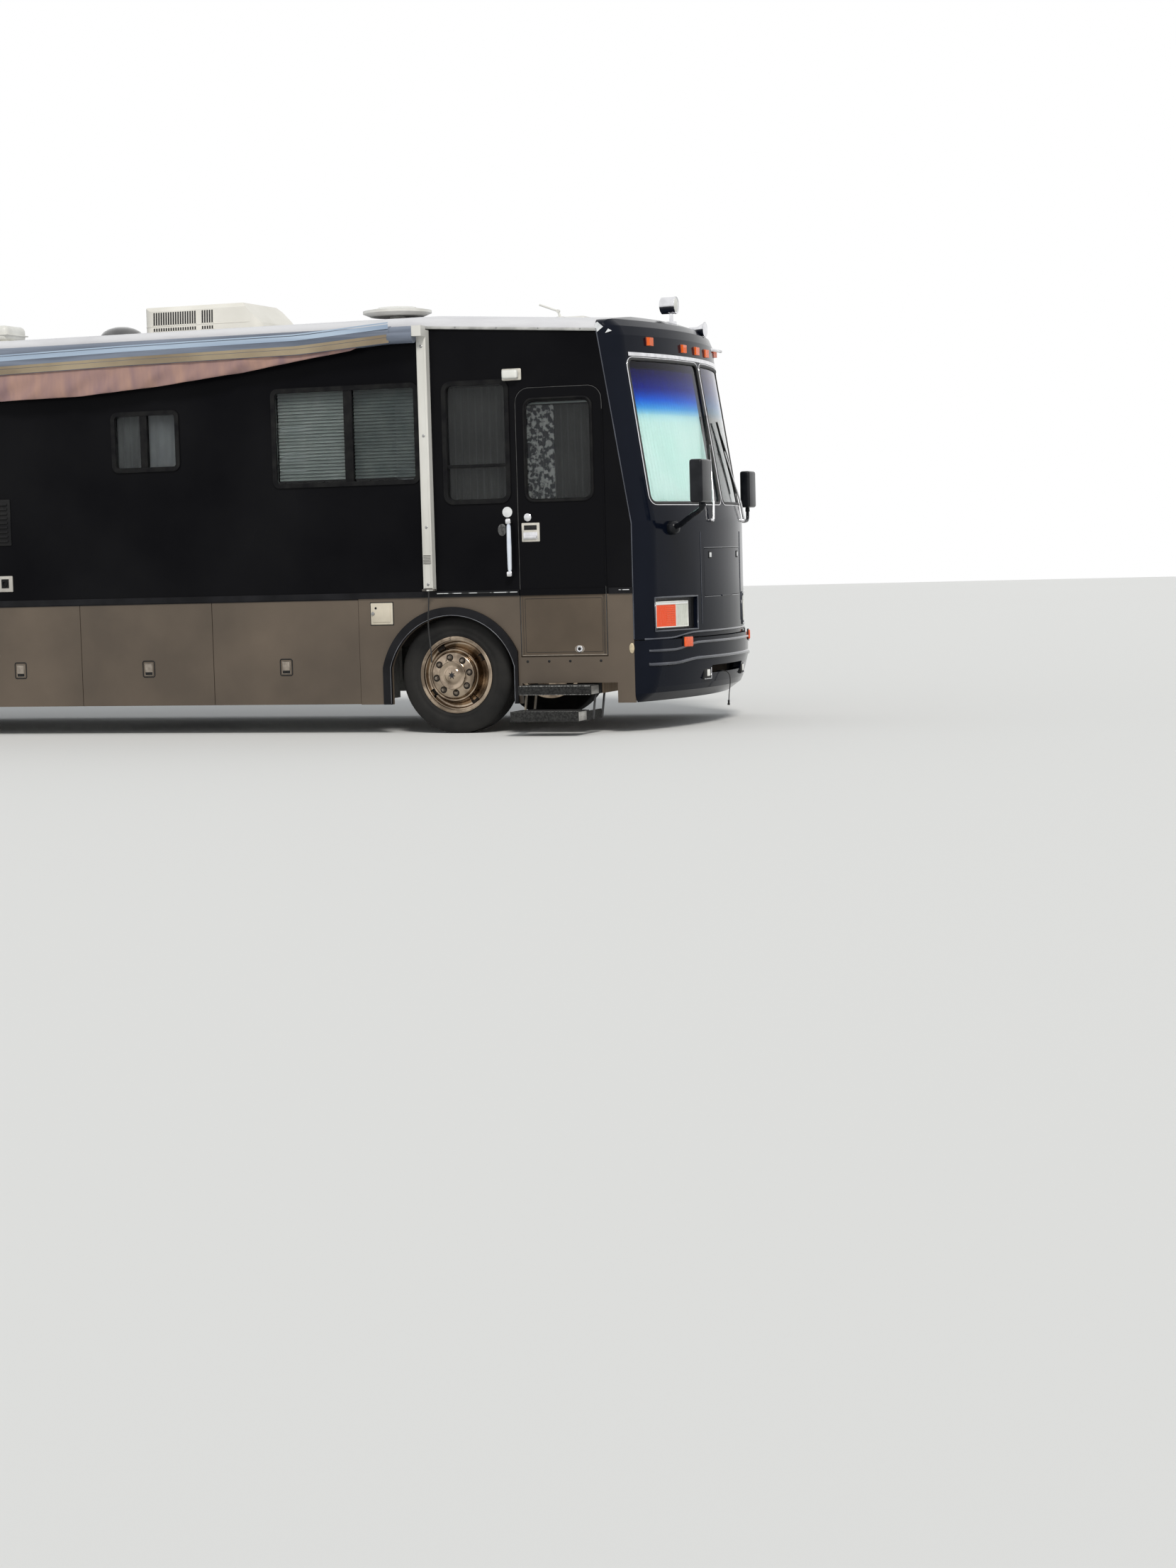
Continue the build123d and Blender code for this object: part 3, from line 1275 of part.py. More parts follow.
sofa = block(2050, 3150, inner_y - 760, inner_y - 40, deck_top_z, deck_top_z + 420) + block(
    2050, 3150, inner_y - 220, inner_y - 40, deck_top_z + 420, deck_top_z + 820)
save("seats", joined([seat(4300, 620), seat(4300, -200), sofa]))
dash_x0, dash_x1 = 4780.0, 5000.0
column_start, column_end = (4790.0, 620.0, 1560.0), (4640.0, 620.0, 1690.0)
wheel_plane = Plane(origin=column_end, z_dir=Vector(*column_start) - Vector(*column_end))
dashboard = joined([
    block(dash_x0, dash_x1, -1000, 1000, deck_top_z, 1580),
    rod(column_start, column_end, 30.0),
    Torus(215.0, 14.0).moved(wheel_plane.location),
    Box(424.0, 44.0, 12.0).moved(wheel_plane.location),
    Cylinder(75.0, 24.0).moved(wheel_plane.location),
])
save("dashboard", dashboard)

# Sunshades: pleated curtain behind the right windscreen pane, blinds behind the side windows
shade_skin = bowed_form(cap_wall + seat_gap, cap_hollow) - bowed_form(cap_wall + 25, cap_hollow)
shades = [shade_skin & screen_prism("right", 10.0) & block(4000, 6000, -1120, -post_half, 1720, 2600)]
for side, x0, x1, z0, z1, radius in windows:
    shades.append(side_panel(side, x0 - 20, x1 + 20, z0 - 20, z1 + 20, inner_y - seat_gap, 20))
shades.append(rear_panel(
    rear_window_half, rear_window_z0, rear_window_z1, 10, 20, rear_face_x + rear_wall + seat_gap, 20
))
save("sunshades", joined(shades))

# Ladder on the rear cap: two rails, rungs and stand-offs
ladder_y0, ladder_y1 = -1000.0, -640.0
ladder_x = rear_face_x - 75
ladder = []
for y in (ladder_y0, ladder_y1):
    ladder.append(rod((ladder_x, y, 1450), (ladder_x, y, 3150), 14.0))
    for z in (1480.0, 3100.0):
        ladder.append(rod((ladder_x, y, z), (rear_face_x, y, z), 12.0))
for k in range(6):
    z = 1600.0 + k * 280
    ladder.append(rod((ladder_x, ladder_y0, z), (ladder_x, ladder_y1, z), 12.0))
save("rear_ladder", joined(ladder))
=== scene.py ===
import math

import bpy
from mathutils import Matrix, Vector


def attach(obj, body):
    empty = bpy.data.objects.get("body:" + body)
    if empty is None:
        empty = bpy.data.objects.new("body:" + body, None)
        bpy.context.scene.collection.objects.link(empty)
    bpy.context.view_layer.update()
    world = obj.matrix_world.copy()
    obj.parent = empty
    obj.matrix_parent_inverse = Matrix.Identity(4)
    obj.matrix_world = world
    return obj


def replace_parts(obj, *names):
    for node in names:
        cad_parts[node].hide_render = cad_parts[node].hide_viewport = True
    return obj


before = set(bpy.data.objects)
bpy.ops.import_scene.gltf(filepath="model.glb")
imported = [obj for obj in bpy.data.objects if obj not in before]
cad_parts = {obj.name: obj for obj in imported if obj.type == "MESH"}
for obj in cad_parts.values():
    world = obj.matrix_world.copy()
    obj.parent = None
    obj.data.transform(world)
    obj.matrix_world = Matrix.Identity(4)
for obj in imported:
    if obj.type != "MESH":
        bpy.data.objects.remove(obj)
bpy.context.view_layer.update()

# The photographer stood off the coach's right front corner, at about the height of the door's
# lock, and turned the camera a little anticlockwise. The lens is long, so the sides stay nearly parallel.
view_yaw, view_pitch, view_roll = 0.3465, 0.0811, -0.0266
camera_place = (11.8978, -21.529, 1.368)
focal_pixels, photo_width, sensor_width = 4004.7, 1659.0, 36.0
forward = Vector((
    -math.sin(view_yaw) * math.cos(view_pitch),
    math.cos(view_yaw) * math.cos(view_pitch),
    -math.sin(view_pitch),
))
level = Vector((math.cos(view_yaw), math.sin(view_yaw), 0.0))
upright = level.cross(forward)
image_right = math.cos(view_roll) * level + math.sin(view_roll) * upright
image_up = -math.sin(view_roll) * level + math.cos(view_roll) * upright
camera_data = bpy.data.cameras.new("camera")
camera_data.sensor_fit = "HORIZONTAL"
camera_data.sensor_width = sensor_width
camera_data.lens = sensor_width * focal_pixels / photo_width
camera_data.clip_end = 200.0
camera = bpy.data.objects.new("camera", camera_data)
turned_view = Matrix((image_right, image_up, -forward)).transposed().to_4x4()
camera.matrix_world = Matrix.Translation(camera_place) @ turned_view
bpy.context.scene.collection.objects.link(camera)
bpy.context.scene.camera = camera

# A plain pale floor and soft light from a high sun ahead of the door side, with an even sky that
# the camera and mirror-like surfaces see as white.


def feed(shader_node, inputs):
    """Give a shader node's inputs their values, or a link where a socket is given."""
    for key, value in inputs.items():
        if isinstance(value, bpy.types.NodeSocket):
            shader_node.id_data.links.new(value, shader_node.inputs[key])
        else:
            shader_node.inputs[key].default_value = value


def add_node(tree, kind, inputs, **settings):
    """Add a shader node with its settings and feed its inputs."""
    shader_node = tree.nodes.new("ShaderNode" + kind)
    for key, value in settings.items():
        setattr(shader_node, key, value)
    feed(shader_node, inputs)
    return shader_node


def tone_ramp(tree, source, stops):
    """A ramp, led by a source, through stops of (position, tone); the first two are its ends."""
    ramp = add_node(tree, "ValToRGB", {"Fac": source})
    elements = ramp.color_ramp.elements
    for k, (position, tone) in enumerate(stops):
        stop = elements[k] if k < 2 else elements.new(position)
        stop.position = position
        stop.color = (*tone, 1)
    return ramp.outputs["Color"]


def new_material(name):
    """A new material, its node tree and the shader in it."""
    material = bpy.data.materials.new(name)
    material.use_nodes = True
    return material, material.node_tree, material.node_tree.nodes["Principled BSDF"]


bpy.context.scene.view_settings.view_transform = "Standard"
bpy.ops.object.select_all(action="DESELECT")
bpy.ops.mesh.primitive_plane_add(size=160.0, location=(0, 0, 0))
floor = bpy.context.object
floor.name = "floor"
pale_floor, tree, shader = new_material("pale_floor")
grain = add_node(tree, "TexNoise", {"Scale": 3.0})
floor_tone = tone_ramp(tree, grain.outputs["Fac"], ((0, (0.74, 0.74, 0.73)), (1, (0.78, 0.78, 0.77))))
feed(shader, {"Roughness": 0.9, "Base Color": floor_tone})
floor.data.materials.append(pale_floor)

world = bpy.data.worlds.new("sky")
bpy.context.scene.world = world
world.use_nodes = True
sky = world.node_tree
sky.nodes.clear()
soft_light = add_node(sky, "Background", {"Color": (0.93, 0.97, 1.0, 1), "Strength": 0.52})
seen_white = add_node(sky, "Background", {"Color": (1, 1, 1, 1), "Strength": 1.0})
path = add_node(sky, "LightPath", {}).outputs
seen = add_node(sky, "Math", {0: path["Is Camera Ray"], 1: path["Is Glossy Ray"]}, operation="MAXIMUM")
seen = add_node(sky, "Math", {0: seen.outputs["Value"], 1: path["Is Transmission Ray"]}, operation="MAXIMUM")
sky_mix = add_node(sky, "MixShader", {
    "Fac": seen.outputs["Value"], 1: soft_light.outputs["Background"], 2: seen_white.outputs["Background"],
})
add_node(sky, "OutputWorld", {"Surface": sky_mix.outputs["Shader"]})

sun_data = bpy.data.lights.new("sun", "SUN")
sun_data.energy = 2.1
sun_data.angle = math.radians(14)
sun_data.color = (1.0, 0.97, 0.92)
sun = bpy.data.objects.new("sun", sun_data)
sun.rotation_euler = Vector((-0.55, 0.95, -1.0)).to_track_quat("-Z", "Y").to_euler()
bpy.context.scene.collection.objects.link(sun)


# The upper side walls are smooth moulded panels in gloss black, a little dusty, each one piece
# from the rear cap to the front cap. They are glued and riveted to the frame behind.
def finish(name, tones, roughness, scale=2.0, stretch=(1, 1, 1), metallic=0.0, bump=0.0, bump_scale=60.0,
           coat=0.0, spread=(0.35, 0.65), rough_spread=0.06, gloss=0.5):
    """A finish whose colour wanders between two tones, with a fine surface over it."""
    material, tree, shader = new_material(name)
    place = add_node(tree, "TexCoord", {})
    mapping = add_node(tree, "Mapping", {"Vector": place.outputs["Object"], "Scale": stretch})
    cloud = add_node(tree, "TexNoise", {"Vector": mapping.outputs["Vector"], "Scale": scale, "Detail": 5.0})
    rough = add_node(tree, "MapRange", {
        "Value": cloud.outputs["Fac"], "To Min": max(0.02, roughness - rough_spread),
        "To Max": roughness + rough_spread,
    })
    feed(shader, {
        "Metallic": metallic, "Coat Weight": coat, "Coat Roughness": 0.08, "Specular IOR Level": gloss,
        "Base Color": tone_ramp(tree, cloud.outputs["Fac"], tuple(zip(spread, tones))),
        "Roughness": rough.outputs["Result"],
    })
    if bump:
        grain = add_node(tree, "TexNoise", {
            "Vector": mapping.outputs["Vector"], "Scale": bump_scale, "Detail": 3.0,
        })
        relief = add_node(tree, "Bump", {"Height": grain.outputs["Fac"], "Strength": bump, "Distance": 0.004})
        feed(shader, {"Normal": relief.outputs["Normal"]})
    return material


def dress(node, material):
    """Give a CAD node its finish."""
    for part_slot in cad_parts[node].material_slots:
        part_slot.material = material


wall_black = finish("wall_black", ((0.003, 0.003, 0.004), (0.007, 0.007, 0.008)), 0.26, scale=0.9, bump=0.05,
                    bump_scale=9.0, gloss=0.04)
for node in ("wall_right", "wall_left", "rear_cap", "engine_door"):
    dress(node, wall_black)


def start_piece():
    """Leave edit mode and let go of everything, so an operator meets only its own piece."""
    if bpy.context.object and bpy.context.object.mode == "EDIT":
        bpy.ops.object.mode_set(mode="OBJECT")
    bpy.ops.object.select_all(action="DESELECT")


def settled():
    """Put the active piece's place, turn and size into its mesh."""
    bpy.ops.object.transform_apply(location=True, rotation=True, scale=True)
    return bpy.context.object


def modified(piece, kind, **settings):
    """Put a modifier's work into a piece's mesh."""
    start_piece()
    bpy.context.view_layer.objects.active = piece
    piece.select_set(True)
    bpy.ops.object.modifier_add(type=kind)
    modifier = piece.modifiers[-1]
    for key, value in settings.items():
        setattr(modifier, key, value)
    bpy.ops.object.modifier_apply(modifier=modifier.name)
    return piece


def soften(piece, width, steps=2):
    """Round the sharp edges of a piece."""
    modified(piece, "BEVEL", width=width, segments=steps, limit_method="ANGLE", angle_limit=math.radians(35))
    bpy.ops.object.shade_smooth_by_angle(angle=math.radians(40))
    return piece


def block(low, high, edge=0.0, steps=2):
    """A block between two corners with rounded edges."""
    start_piece()
    middle = [(a + b) / 2 for a, b in zip(low, high)]
    bpy.ops.mesh.primitive_cube_add(size=1, location=middle)
    bpy.context.object.scale = [abs(b - a) for a, b in zip(low, high)]
    piece = settled()
    return soften(piece, edge, steps) if edge else piece


def bar(start, end, radius, tip=None, sides=20, edge=0.0):
    """A round bar or cone between two points."""
    start_piece()
    a, b = Vector(start), Vector(end)
    bpy.ops.mesh.primitive_cone_add(
        vertices=sides, radius1=radius, radius2=radius if tip is None else tip, depth=(b - a).length,
        location=(a + b) / 2, rotation=(b - a).to_track_quat("Z", "Y").to_euler(),
    )
    piece = settled()
    if edge:
        return soften(piece, edge, 2)
    bpy.ops.object.shade_smooth_by_angle(angle=math.radians(40))
    return piece


def drawn(points):
    """A line drawn from point to point; edit mode stays on, with the last point picked."""
    start_piece()
    bpy.ops.mesh.primitive_plane_add(size=0.01, location=points[0])
    settled()
    bpy.ops.object.mode_set(mode="EDIT")
    bpy.ops.mesh.select_all(action="SELECT")
    bpy.ops.mesh.merge(type="CENTER")
    for a, b in zip(points, points[1:]):
        bpy.ops.mesh.extrude_region_move(TRANSFORM_OT_translate={"value": Vector(b) - Vector(a)})


def traced(points, through):
    """An outline drawn point by point, filled, and drawn out along a direction."""
    drawn(points)
    bpy.ops.mesh.select_all(action="SELECT")
    bpy.ops.mesh.edge_face_add()
    bpy.ops.mesh.extrude_region_move(TRANSFORM_OT_translate={"value": Vector(through)})
    bpy.ops.mesh.select_all(action="SELECT")
    bpy.ops.mesh.normals_make_consistent(inside=False)
    bpy.ops.object.mode_set(mode="OBJECT")
    return bpy.context.object


def spun(profile, centre, axis, steps=48, smooth=40):
    """A profile of (distance along the axis, radius), spun right round it."""
    axis = Vector(axis).normalized()
    side = axis.orthogonal().normalized()
    drawn([Vector(centre) + axis * along + side * radius for along, radius in profile])
    bpy.ops.mesh.select_all(action="SELECT")
    bpy.ops.mesh.spin(steps=steps, angle=2 * math.pi, center=centre, axis=axis)
    bpy.ops.mesh.select_all(action="SELECT")
    bpy.ops.mesh.remove_doubles(threshold=0.00005)
    bpy.ops.mesh.normals_make_consistent(inside=False)
    bpy.ops.object.mode_set(mode="OBJECT")
    bpy.ops.object.shade_smooth_by_angle(angle=math.radians(smooth))
    return bpy.context.object


def fitted(name, pieces, material, body="coach"):
    """Join pieces into one, name it, give it its finish and let it ride on a body."""
    pieces = pieces if isinstance(pieces, list) else [pieces]
    start_piece()
    for piece in pieces:
        piece.select_set(True)
    bpy.context.view_layer.objects.active = pieces[0]
    if len(pieces) > 1:
        bpy.ops.object.join()
    whole = bpy.context.object
    whole.name = name
    whole.data.materials.clear()
    whole.data.materials.append(material)
    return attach(whole, body)


# The refrigerator's louvred vent, in the wall's black, and the furnace's small cream flue plate
# are pressed plates screwed over holes in the door-side wall.
vent_black = finish(
    "vent_black", ((0.006, 0.006, 0.007), (0.014, 0.014, 0.014)), 0.5, scale=6.0, bump=0.1, gloss=0.15,
)
wall_y = -1.219
wall_out = (0, -1, 0)
vent = [block((-0.87, wall_y - 0.010, 1.553), (-0.379, wall_y + 0.004, 1.930), 0.008)]
for row in range(9):
    z = 1.585 + row * 0.037
    section = [(-0.845, wall_y - 0.008, z), (-0.845, wall_y - 0.022, z), (-0.845, wall_y - 0.008, z + 0.022)]
    vent.append(traced(section, (0.44, 0, 0)))
fitted("fridge_vent", vent, vent_black)
flue_cream = finish("flue_cream", ((0.50, 0.48, 0.44), (0.38, 0.36, 0.33)), 0.4, scale=12.0)
flue = block((-0.52, wall_y - 0.010, 1.177), (-0.384, wall_y + 0.004, 1.307), 0.006)
fitted("furnace_flue", flue, flue_cream)
flue_mouth = [
    block((-0.487, wall_y - 0.013, 1.208), (-0.417, wall_y - 0.008, 1.282), 0.003),
    spun([(0, 0.024), (0.012, 0.024), (0.012, 0.018), (0.002, 0.018), (0.002, 0.0)],
         (-0.452, wall_y - 0.012, 1.245), wall_out, 24),
]
fitted("furnace_flue_mouth", flue_mouth, vent_black)

# The roof is a white rubber membrane glued over the rolled edges, a little chalky, with small
# folds and stains where it turns down, held by a drip rail screwed along each side.
membrane = finish(
    "roof_membrane", ((0.66, 0.66, 0.68), (0.48, 0.47, 0.50)), 0.55, scale=1.6, stretch=(1, 1, 5), bump=0.5,
    bump_scale=14.0, spread=(0.45, 0.85),
)
dress("roof", membrane)
rail_grey = finish("drip_rail_grey", ((0.50, 0.50, 0.48), (0.28, 0.28, 0.27)), 0.45, scale=9.0)


def roof_edge(x):
    """Height of the roof's edge along the coach."""
    return 3.2 - max(0.0, (x - 3.25) / 1.467) * 0.088


rails = []
for side in (-1, 1):
    y = side * 1.224
    for start, end in ((-5.33, 3.25), (3.25, 4.72)):
        z0, z1 = roof_edge(start) - 0.078, roof_edge(end) - 0.078
        section = ((-0.004, -0.001), (0.012, -0.001), (0.014, 0.008), (0.003, 0.020), (-0.004, 0.020))
        section = [(start, y + side * proud, z0 + up) for proud, up in section]
        rails.append(traced(section, (end - start, 0, z1 - z0)))
fitted("drip_rails", rails, rail_grey)

# The lower sides are aluminium skirts and storage doors in a tan metallic paint with a little dust, its tone
# darkened as painted shade over the whole side. The doors close flush, with a rubber seal behind and a flat
# latch each.
skirt_tan_painted_shade = finish("skirt_tan_painted_shade", ((0.135, 0.106, 0.080), (0.092, 0.073, 0.056)), 0.34, scale=1.1, bump=0.04,
                   bump_scale=7.0, gloss=0.25)
dress("skirts", skirt_tan_painted_shade)
latch_metal = finish("latch_metal", ((0.42, 0.42, 0.42), (0.22, 0.22, 0.22)), 0.3, scale=30.0, metallic=1.0)
latch_dark = finish("latch_dark", ((0.008, 0.008, 0.008), (0.02, 0.02, 0.02)), 0.45, scale=30.0, gloss=0.2)
latch_tan = finish("latch_tan", ((0.30, 0.26, 0.215), (0.20, 0.17, 0.14)), 0.3, scale=30.0)


def rounded_outline(x0, x1, z0, z1, radius, y, steps=6):
    """Points round a rectangle with round corners, in a side wall."""
    points = []
    for cx, cz, begin in ((x1 - radius, z1 - radius, 0), (x0 + radius, z1 - radius, 90),
                          (x0 + radius, z0 + radius, 180), (x1 - radius, z0 + radius, 270)):
        for k in range(steps + 1):
            a = math.radians(begin + 90 * k / steps)
            points.append((cx + radius * math.cos(a), y, cz + radius * math.sin(a)))
    return points


def tube_along(points, radius, closed=False, rounds=2):
    """A round moulding laid along points, drawn as a line and given its thickness."""
    drawn(points)
    if closed:
        home = Vector(points[0]) - Vector(points[-1])
        bpy.ops.mesh.extrude_region_move(TRANSFORM_OT_translate={"value": home})
        bpy.ops.mesh.select_all(action="SELECT")
        bpy.ops.mesh.remove_doubles(threshold=0.0001)
    bpy.ops.object.mode_set(mode="OBJECT")
    bpy.ops.object.convert(target="CURVE")
    bpy.context.object.data.bevel_depth = radius
    bpy.context.object.data.bevel_resolution = rounds
    bpy.context.object.data.use_fill_caps = not closed
    bpy.ops.object.convert(target="MESH")
    bpy.ops.object.shade_smooth()
    return bpy.context.object


for side, out in (("right", -1), ("left", 1)):
    y = out * 1.219
    for number, latch_x in enumerate((-0.346, 0.834, 2.057), start=1):
        body = f"bay_door_{side}_{number}"
        dress(body, skirt_tan_painted_shade)
        outline = rounded_outline(latch_x - 0.052, latch_x + 0.052, 0.468, 0.596, 0.014, y, 4)
        ring = tube_along(outline, 0.0045, closed=True)
        fitted(f"bay_latch_ring_{side}_{number}", ring, latch_dark, body)
        pocket = block(
            (latch_x - 0.034, y - 0.0008, 0.482), (latch_x + 0.034, y + out * 0.0012, 0.578), 0.0005,
        )
        fitted(f"bay_latch_pocket_{side}_{number}", pocket, latch_dark, body)
        edge = rounded_outline(latch_x - 0.035, latch_x + 0.035, 0.481, 0.579, 0.006, y + out * 0.001, 3)
        paddle = [
            block((latch_x - 0.031, y, 0.506), (latch_x + 0.031, y + out * 0.007, 0.575), 0.003),
            tube_along(edge, 0.0022, closed=True),
        ]
        fitted(f"bay_latch_{side}_{number}", paddle, latch_tan, body)

# A small cream hatch over the water filler, ahead of the last storage door, with a round lock.
hatch_cream = finish("hatch_cream", ((0.62, 0.56, 0.45), (0.52, 0.47, 0.38)), 0.35, scale=7.0, bump=0.05)
filler = [
    block((2.803, wall_y - 0.008, 0.855), (2.990, wall_y + 0.003, 1.024), 0.006),
    block((2.822, wall_y - 0.014, 0.874), (2.971, wall_y - 0.006, 1.005), 0.005),
]
fitted("filler_hatch", filler, hatch_cream)
filler_ring = block((2.797, wall_y - 0.0035, 0.849), (2.996, wall_y + 0.002, 1.030), 0.004)
fitted("filler_ring", filler_ring, latch_dark)
filler_dot = spun([(0, 0.009), (0.003, 0.009), (0.003, 0.0)], (2.850, wall_y - 0.0135, 0.984), wall_out, 20)
fitted("filler_dot", filler_dot, latch_dark)
filler_lock = spun([(0, 0.014), (0.006, 0.014), (0.008, 0.010), (0.008, 0.0)], (2.826, wall_y - 0.013, 0.942),
                   wall_out, 20)
fitted("filler_lock", filler_lock, latch_metal)

# Rub rails of black vinyl run along the belt, and black moulded flares edge the wheel arches.
trim_black = finish(
    "trim_black", ((0.004, 0.004, 0.005), (0.011, 0.011, 0.013)), 0.35, scale=5.0, bump=0.06, gloss=0.14,
)
dress("side_mouldings", trim_black)
front_axle_x, rear_axle_x, axle_z = 3.480, -2.310, 0.455
# A grey line along each arch's edge is a painted highlight on the black flare's rim.
arch_edge_highlight = finish("arch_edge_highlight", ((0.20, 0.21, 0.23), (0.08, 0.08, 0.09)), 0.4, scale=8.0)


def arch_points(axle_x, y, grow):
    """Points along a wheel arch's edge, from its front leg over to its rear leg."""
    half, spring_z, top_z = 0.512 + grow, 0.520, 0.913 + grow
    rise = top_z - spring_z
    radius = (half * half + rise * rise) / (2 * rise)
    reach = math.asin(half / radius)
    arc = [reach - 2 * reach * k / 24 for k in range(25)]
    centre_z = top_z - radius
    points = [(axle_x + radius * math.sin(a), y, centre_z + radius * math.cos(a)) for a in arc]
    return [(axle_x + half, y, 0.24)] + points + [(axle_x - half, y, 0.24)]


edges = []
for side in (-1, 1):
    for axle_x in (front_axle_x, rear_axle_x):
        edges.append(tube_along(arch_points(axle_x, side * 1.2405, 0.006), 0.0025))
fitted("arch_edges", edges, arch_edge_highlight)
# Short bright strips on the belt rail by the door and the front are painted highlights where the rail catches
# the light.
belt_painted_highlight = finish(
    "belt_painted_highlight", ((0.62, 0.63, 0.64), (0.03, 0.03, 0.03)), 0.3, scale=16.0, stretch=(1, 0.1, 0.1),
    spread=(0.50, 0.58),
)
strips = []
for side in (-1, 1):
    for x0, x1 in ((3.374, 4.040), (4.860, 4.944)):
        strips.append(block((x0, side * 1.2412 - 0.0015, 1.084), (x1, side * 1.2412 + 0.0015, 1.090), 0.001))
fitted("belt_shine_strips", strips, belt_painted_highlight)

# Windows are tempered dark glass in black aluminium frames with round corners. The wide ones
# slide behind an upright bar, and the tall one by the passenger seat has a low bar.
frame_black = finish(
    "frame_black", ((0.005, 0.005, 0.006), (0.013, 0.013, 0.013)), 0.45, scale=12.0, gloss=0.08,
)
dress("window_frames", frame_black)


def glazing(name, colour):
    """Tinted glass with faint dust, clear enough to show what hangs behind it."""
    material, tree, shader = new_material(name)
    place = add_node(tree, "TexCoord", {})
    dust = add_node(tree, "TexNoise", {"Vector": place.outputs["Object"], "Scale": 3.0}).outputs["Fac"]
    smear = add_node(tree, "MapRange", {"Value": dust, "To Min": 0.02, "To Max": 0.06})
    dusty = [min(1, c * 1.15) for c in colour]
    feed(shader, {
        "Transmission Weight": 1.0, "IOR": 1.25, "Roughness": smear.outputs["Result"],
        "Base Color": tone_ramp(tree, dust, ((0, colour), (1, dusty))),
    })
    return material


dark_glass = glazing("dark_glass", (0.52, 0.55, 0.56))
for node in ("side_glass", "entry_door_glass"):
    dress(node, dark_glass)
uprights = []
for side in (-1, 1):
    for x, width, z0, z1 in (
        (0.8695, 0.063, 2.14, 2.558), (2.6615, 0.073, 1.97, 2.682), (-3.725, 0.06, 1.97, 2.558),
    ):
        uprights.append(block((x - width / 2, side * 1.227, z0), (x + width / 2, side * 1.198, z1), 0.004))
uprights.append(block((3.486, -1.226, 2.043), (3.971, -1.198, 2.070), 0.004))
fitted("window_bars", uprights, frame_black)

# Blinds hang behind most windows: pale slats that tilt, lowered and nearly closed, darker where
# the front half of the long window lies in shade. A plain shade hangs behind the rear window.
slat_cream = finish("slat_cream", ((0.52, 0.55, 0.51), (0.38, 0.42, 0.39)), 0.5, scale=5.0, bump=0.05)


def slatted(x0, x1, z0, z1, y, tilt, gap=0.026):
    """A blind's slats: one thin slat copied downwards."""
    out = math.copysign(1.0, y)
    rise, reach = gap * 1.02 * math.sin(tilt), gap * 1.02 * math.cos(tilt)
    slat = traced(
        [(x0, y, z1 - 0.004), (x0, y + out * reach / 2, z1 - 0.004 - rise / 2 + 0.0015),
         (x0, y + out * reach, z1 - 0.004 - rise), (x0, y + out * reach, z1 - 0.0048 - rise),
         (x0, y + out * reach / 2, z1 - 0.0048 - rise / 2 + 0.0015), (x0, y, z1 - 0.0048)],
        (x1 - x0, 0, 0),
    )
    return modified(slat, "ARRAY", count=int((z1 - z0 - 0.03) / gap), use_relative_offset=False,
                    use_constant_offset=True, constant_offset_displace=(0, 0, -gap))


blinds, shaded_blinds = [], []
for side in (-1, 1):
    y = side * 1.146
    blinds.append(slatted(2.03, 2.645, 1.95, 2.70, y, math.radians(62)))
    shaded_blinds.append(slatted(2.68, 3.23, 1.95, 2.70, y, math.radians(62)))
    blinds.append(slatted(-4.24, -3.21, 1.95, 2.58, y, math.radians(62)))
blinds.append(slatted(0.60, 1.17, 2.12, 2.58, 1.146, math.radians(40)))
blinds.append(slatted(3.87, 4.61, 2.35, 2.65, 1.146, math.radians(62)))
for z0, z1 in ((1.888, 1.908), (1.914, 1.934)):
    blinds.append(block((-5.446, -0.53, z0), (-5.440, 0.53, z1), 0.001))
blinds.append(block((-5.447, -0.53, 1.89), (-5.441, 0.53, 2.51), 0.002))
blind_piece = fitted("blinds", blinds, slat_cream)
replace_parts(blind_piece, "sunshades")
slat_shaded = finish("slat_shaded", ((0.24, 0.27, 0.25), (0.15, 0.18, 0.17)), 0.5, scale=5.0, bump=0.05)
fitted("shaded_blinds", shaded_blinds, slat_shaded)

# The windows of the passenger seat, the entry door and the small one behind it have gathered
# curtains in plain and printed cloth, stitched in folds on a rod along the top.


def cloth(name, tones, weave=420.0, sheen=0.3, pattern=2.5, spread=(0.35, 0.68)):
    """A woven cloth: crossed threads on the piece's own surface, with soft sheen."""
    material, tree, shader = new_material(name)
    place = add_node(tree, "TexCoord", {}).outputs["Object"]
    cloud = add_node(tree, "TexNoise", {"Vector": place, "Scale": pattern, "Detail": 4.0})
    weft = add_node(tree, "TexWave", {"Vector": place, "Scale": weave}, bands_direction="X")
    warp = add_node(tree, "TexWave", {"Vector": place, "Scale": weave}, bands_direction="Z")
    crossed = add_node(tree, "Math", {0: weft.outputs["Fac"], 1: warp.outputs["Fac"]}, operation="ADD")
    relief = add_node(tree, "Bump", {
        "Height": crossed.outputs["Value"], "Strength": 0.12, "Distance": 0.0003,
    })
    feed(shader, {
        "Roughness": 0.85, "Sheen Weight": sheen, "Normal": relief.outputs["Normal"],
        "Base Color": tone_ramp(tree, cloud.outputs["Fac"], tuple(zip(spread, tones))),
    })
    return material


def gathered(start, end, z0, z1, folds, depth):
    """A curtain gathered into upright folds between two points, as one thin sheet."""
    start_piece()
    bpy.ops.mesh.primitive_grid_add(x_subdivisions=folds * 8, y_subdivisions=8, size=1)
    piece = bpy.context.object
    a, b = Vector((*start, 0)), Vector((*end, 0))
    run = b - a
    out = Vector((run.y, -run.x, 0)).normalized()
    for vertex in piece.data.vertices:
        u, v = vertex.co.x + 0.5, vertex.co.y + 0.5
        swing = math.sin(2 * math.pi * folds * u) + 0.25 * math.sin(2 * math.pi * folds * 0.37 * u + 1.1)
        amount = depth * (0.75 + 0.25 * (1 - v)) * swing / 1.25
        where = a + run * u + out * amount
        vertex.co = (where.x, where.y, z0 + (z1 - z0) * v)
    bpy.ops.object.shade_smooth()
    return piece


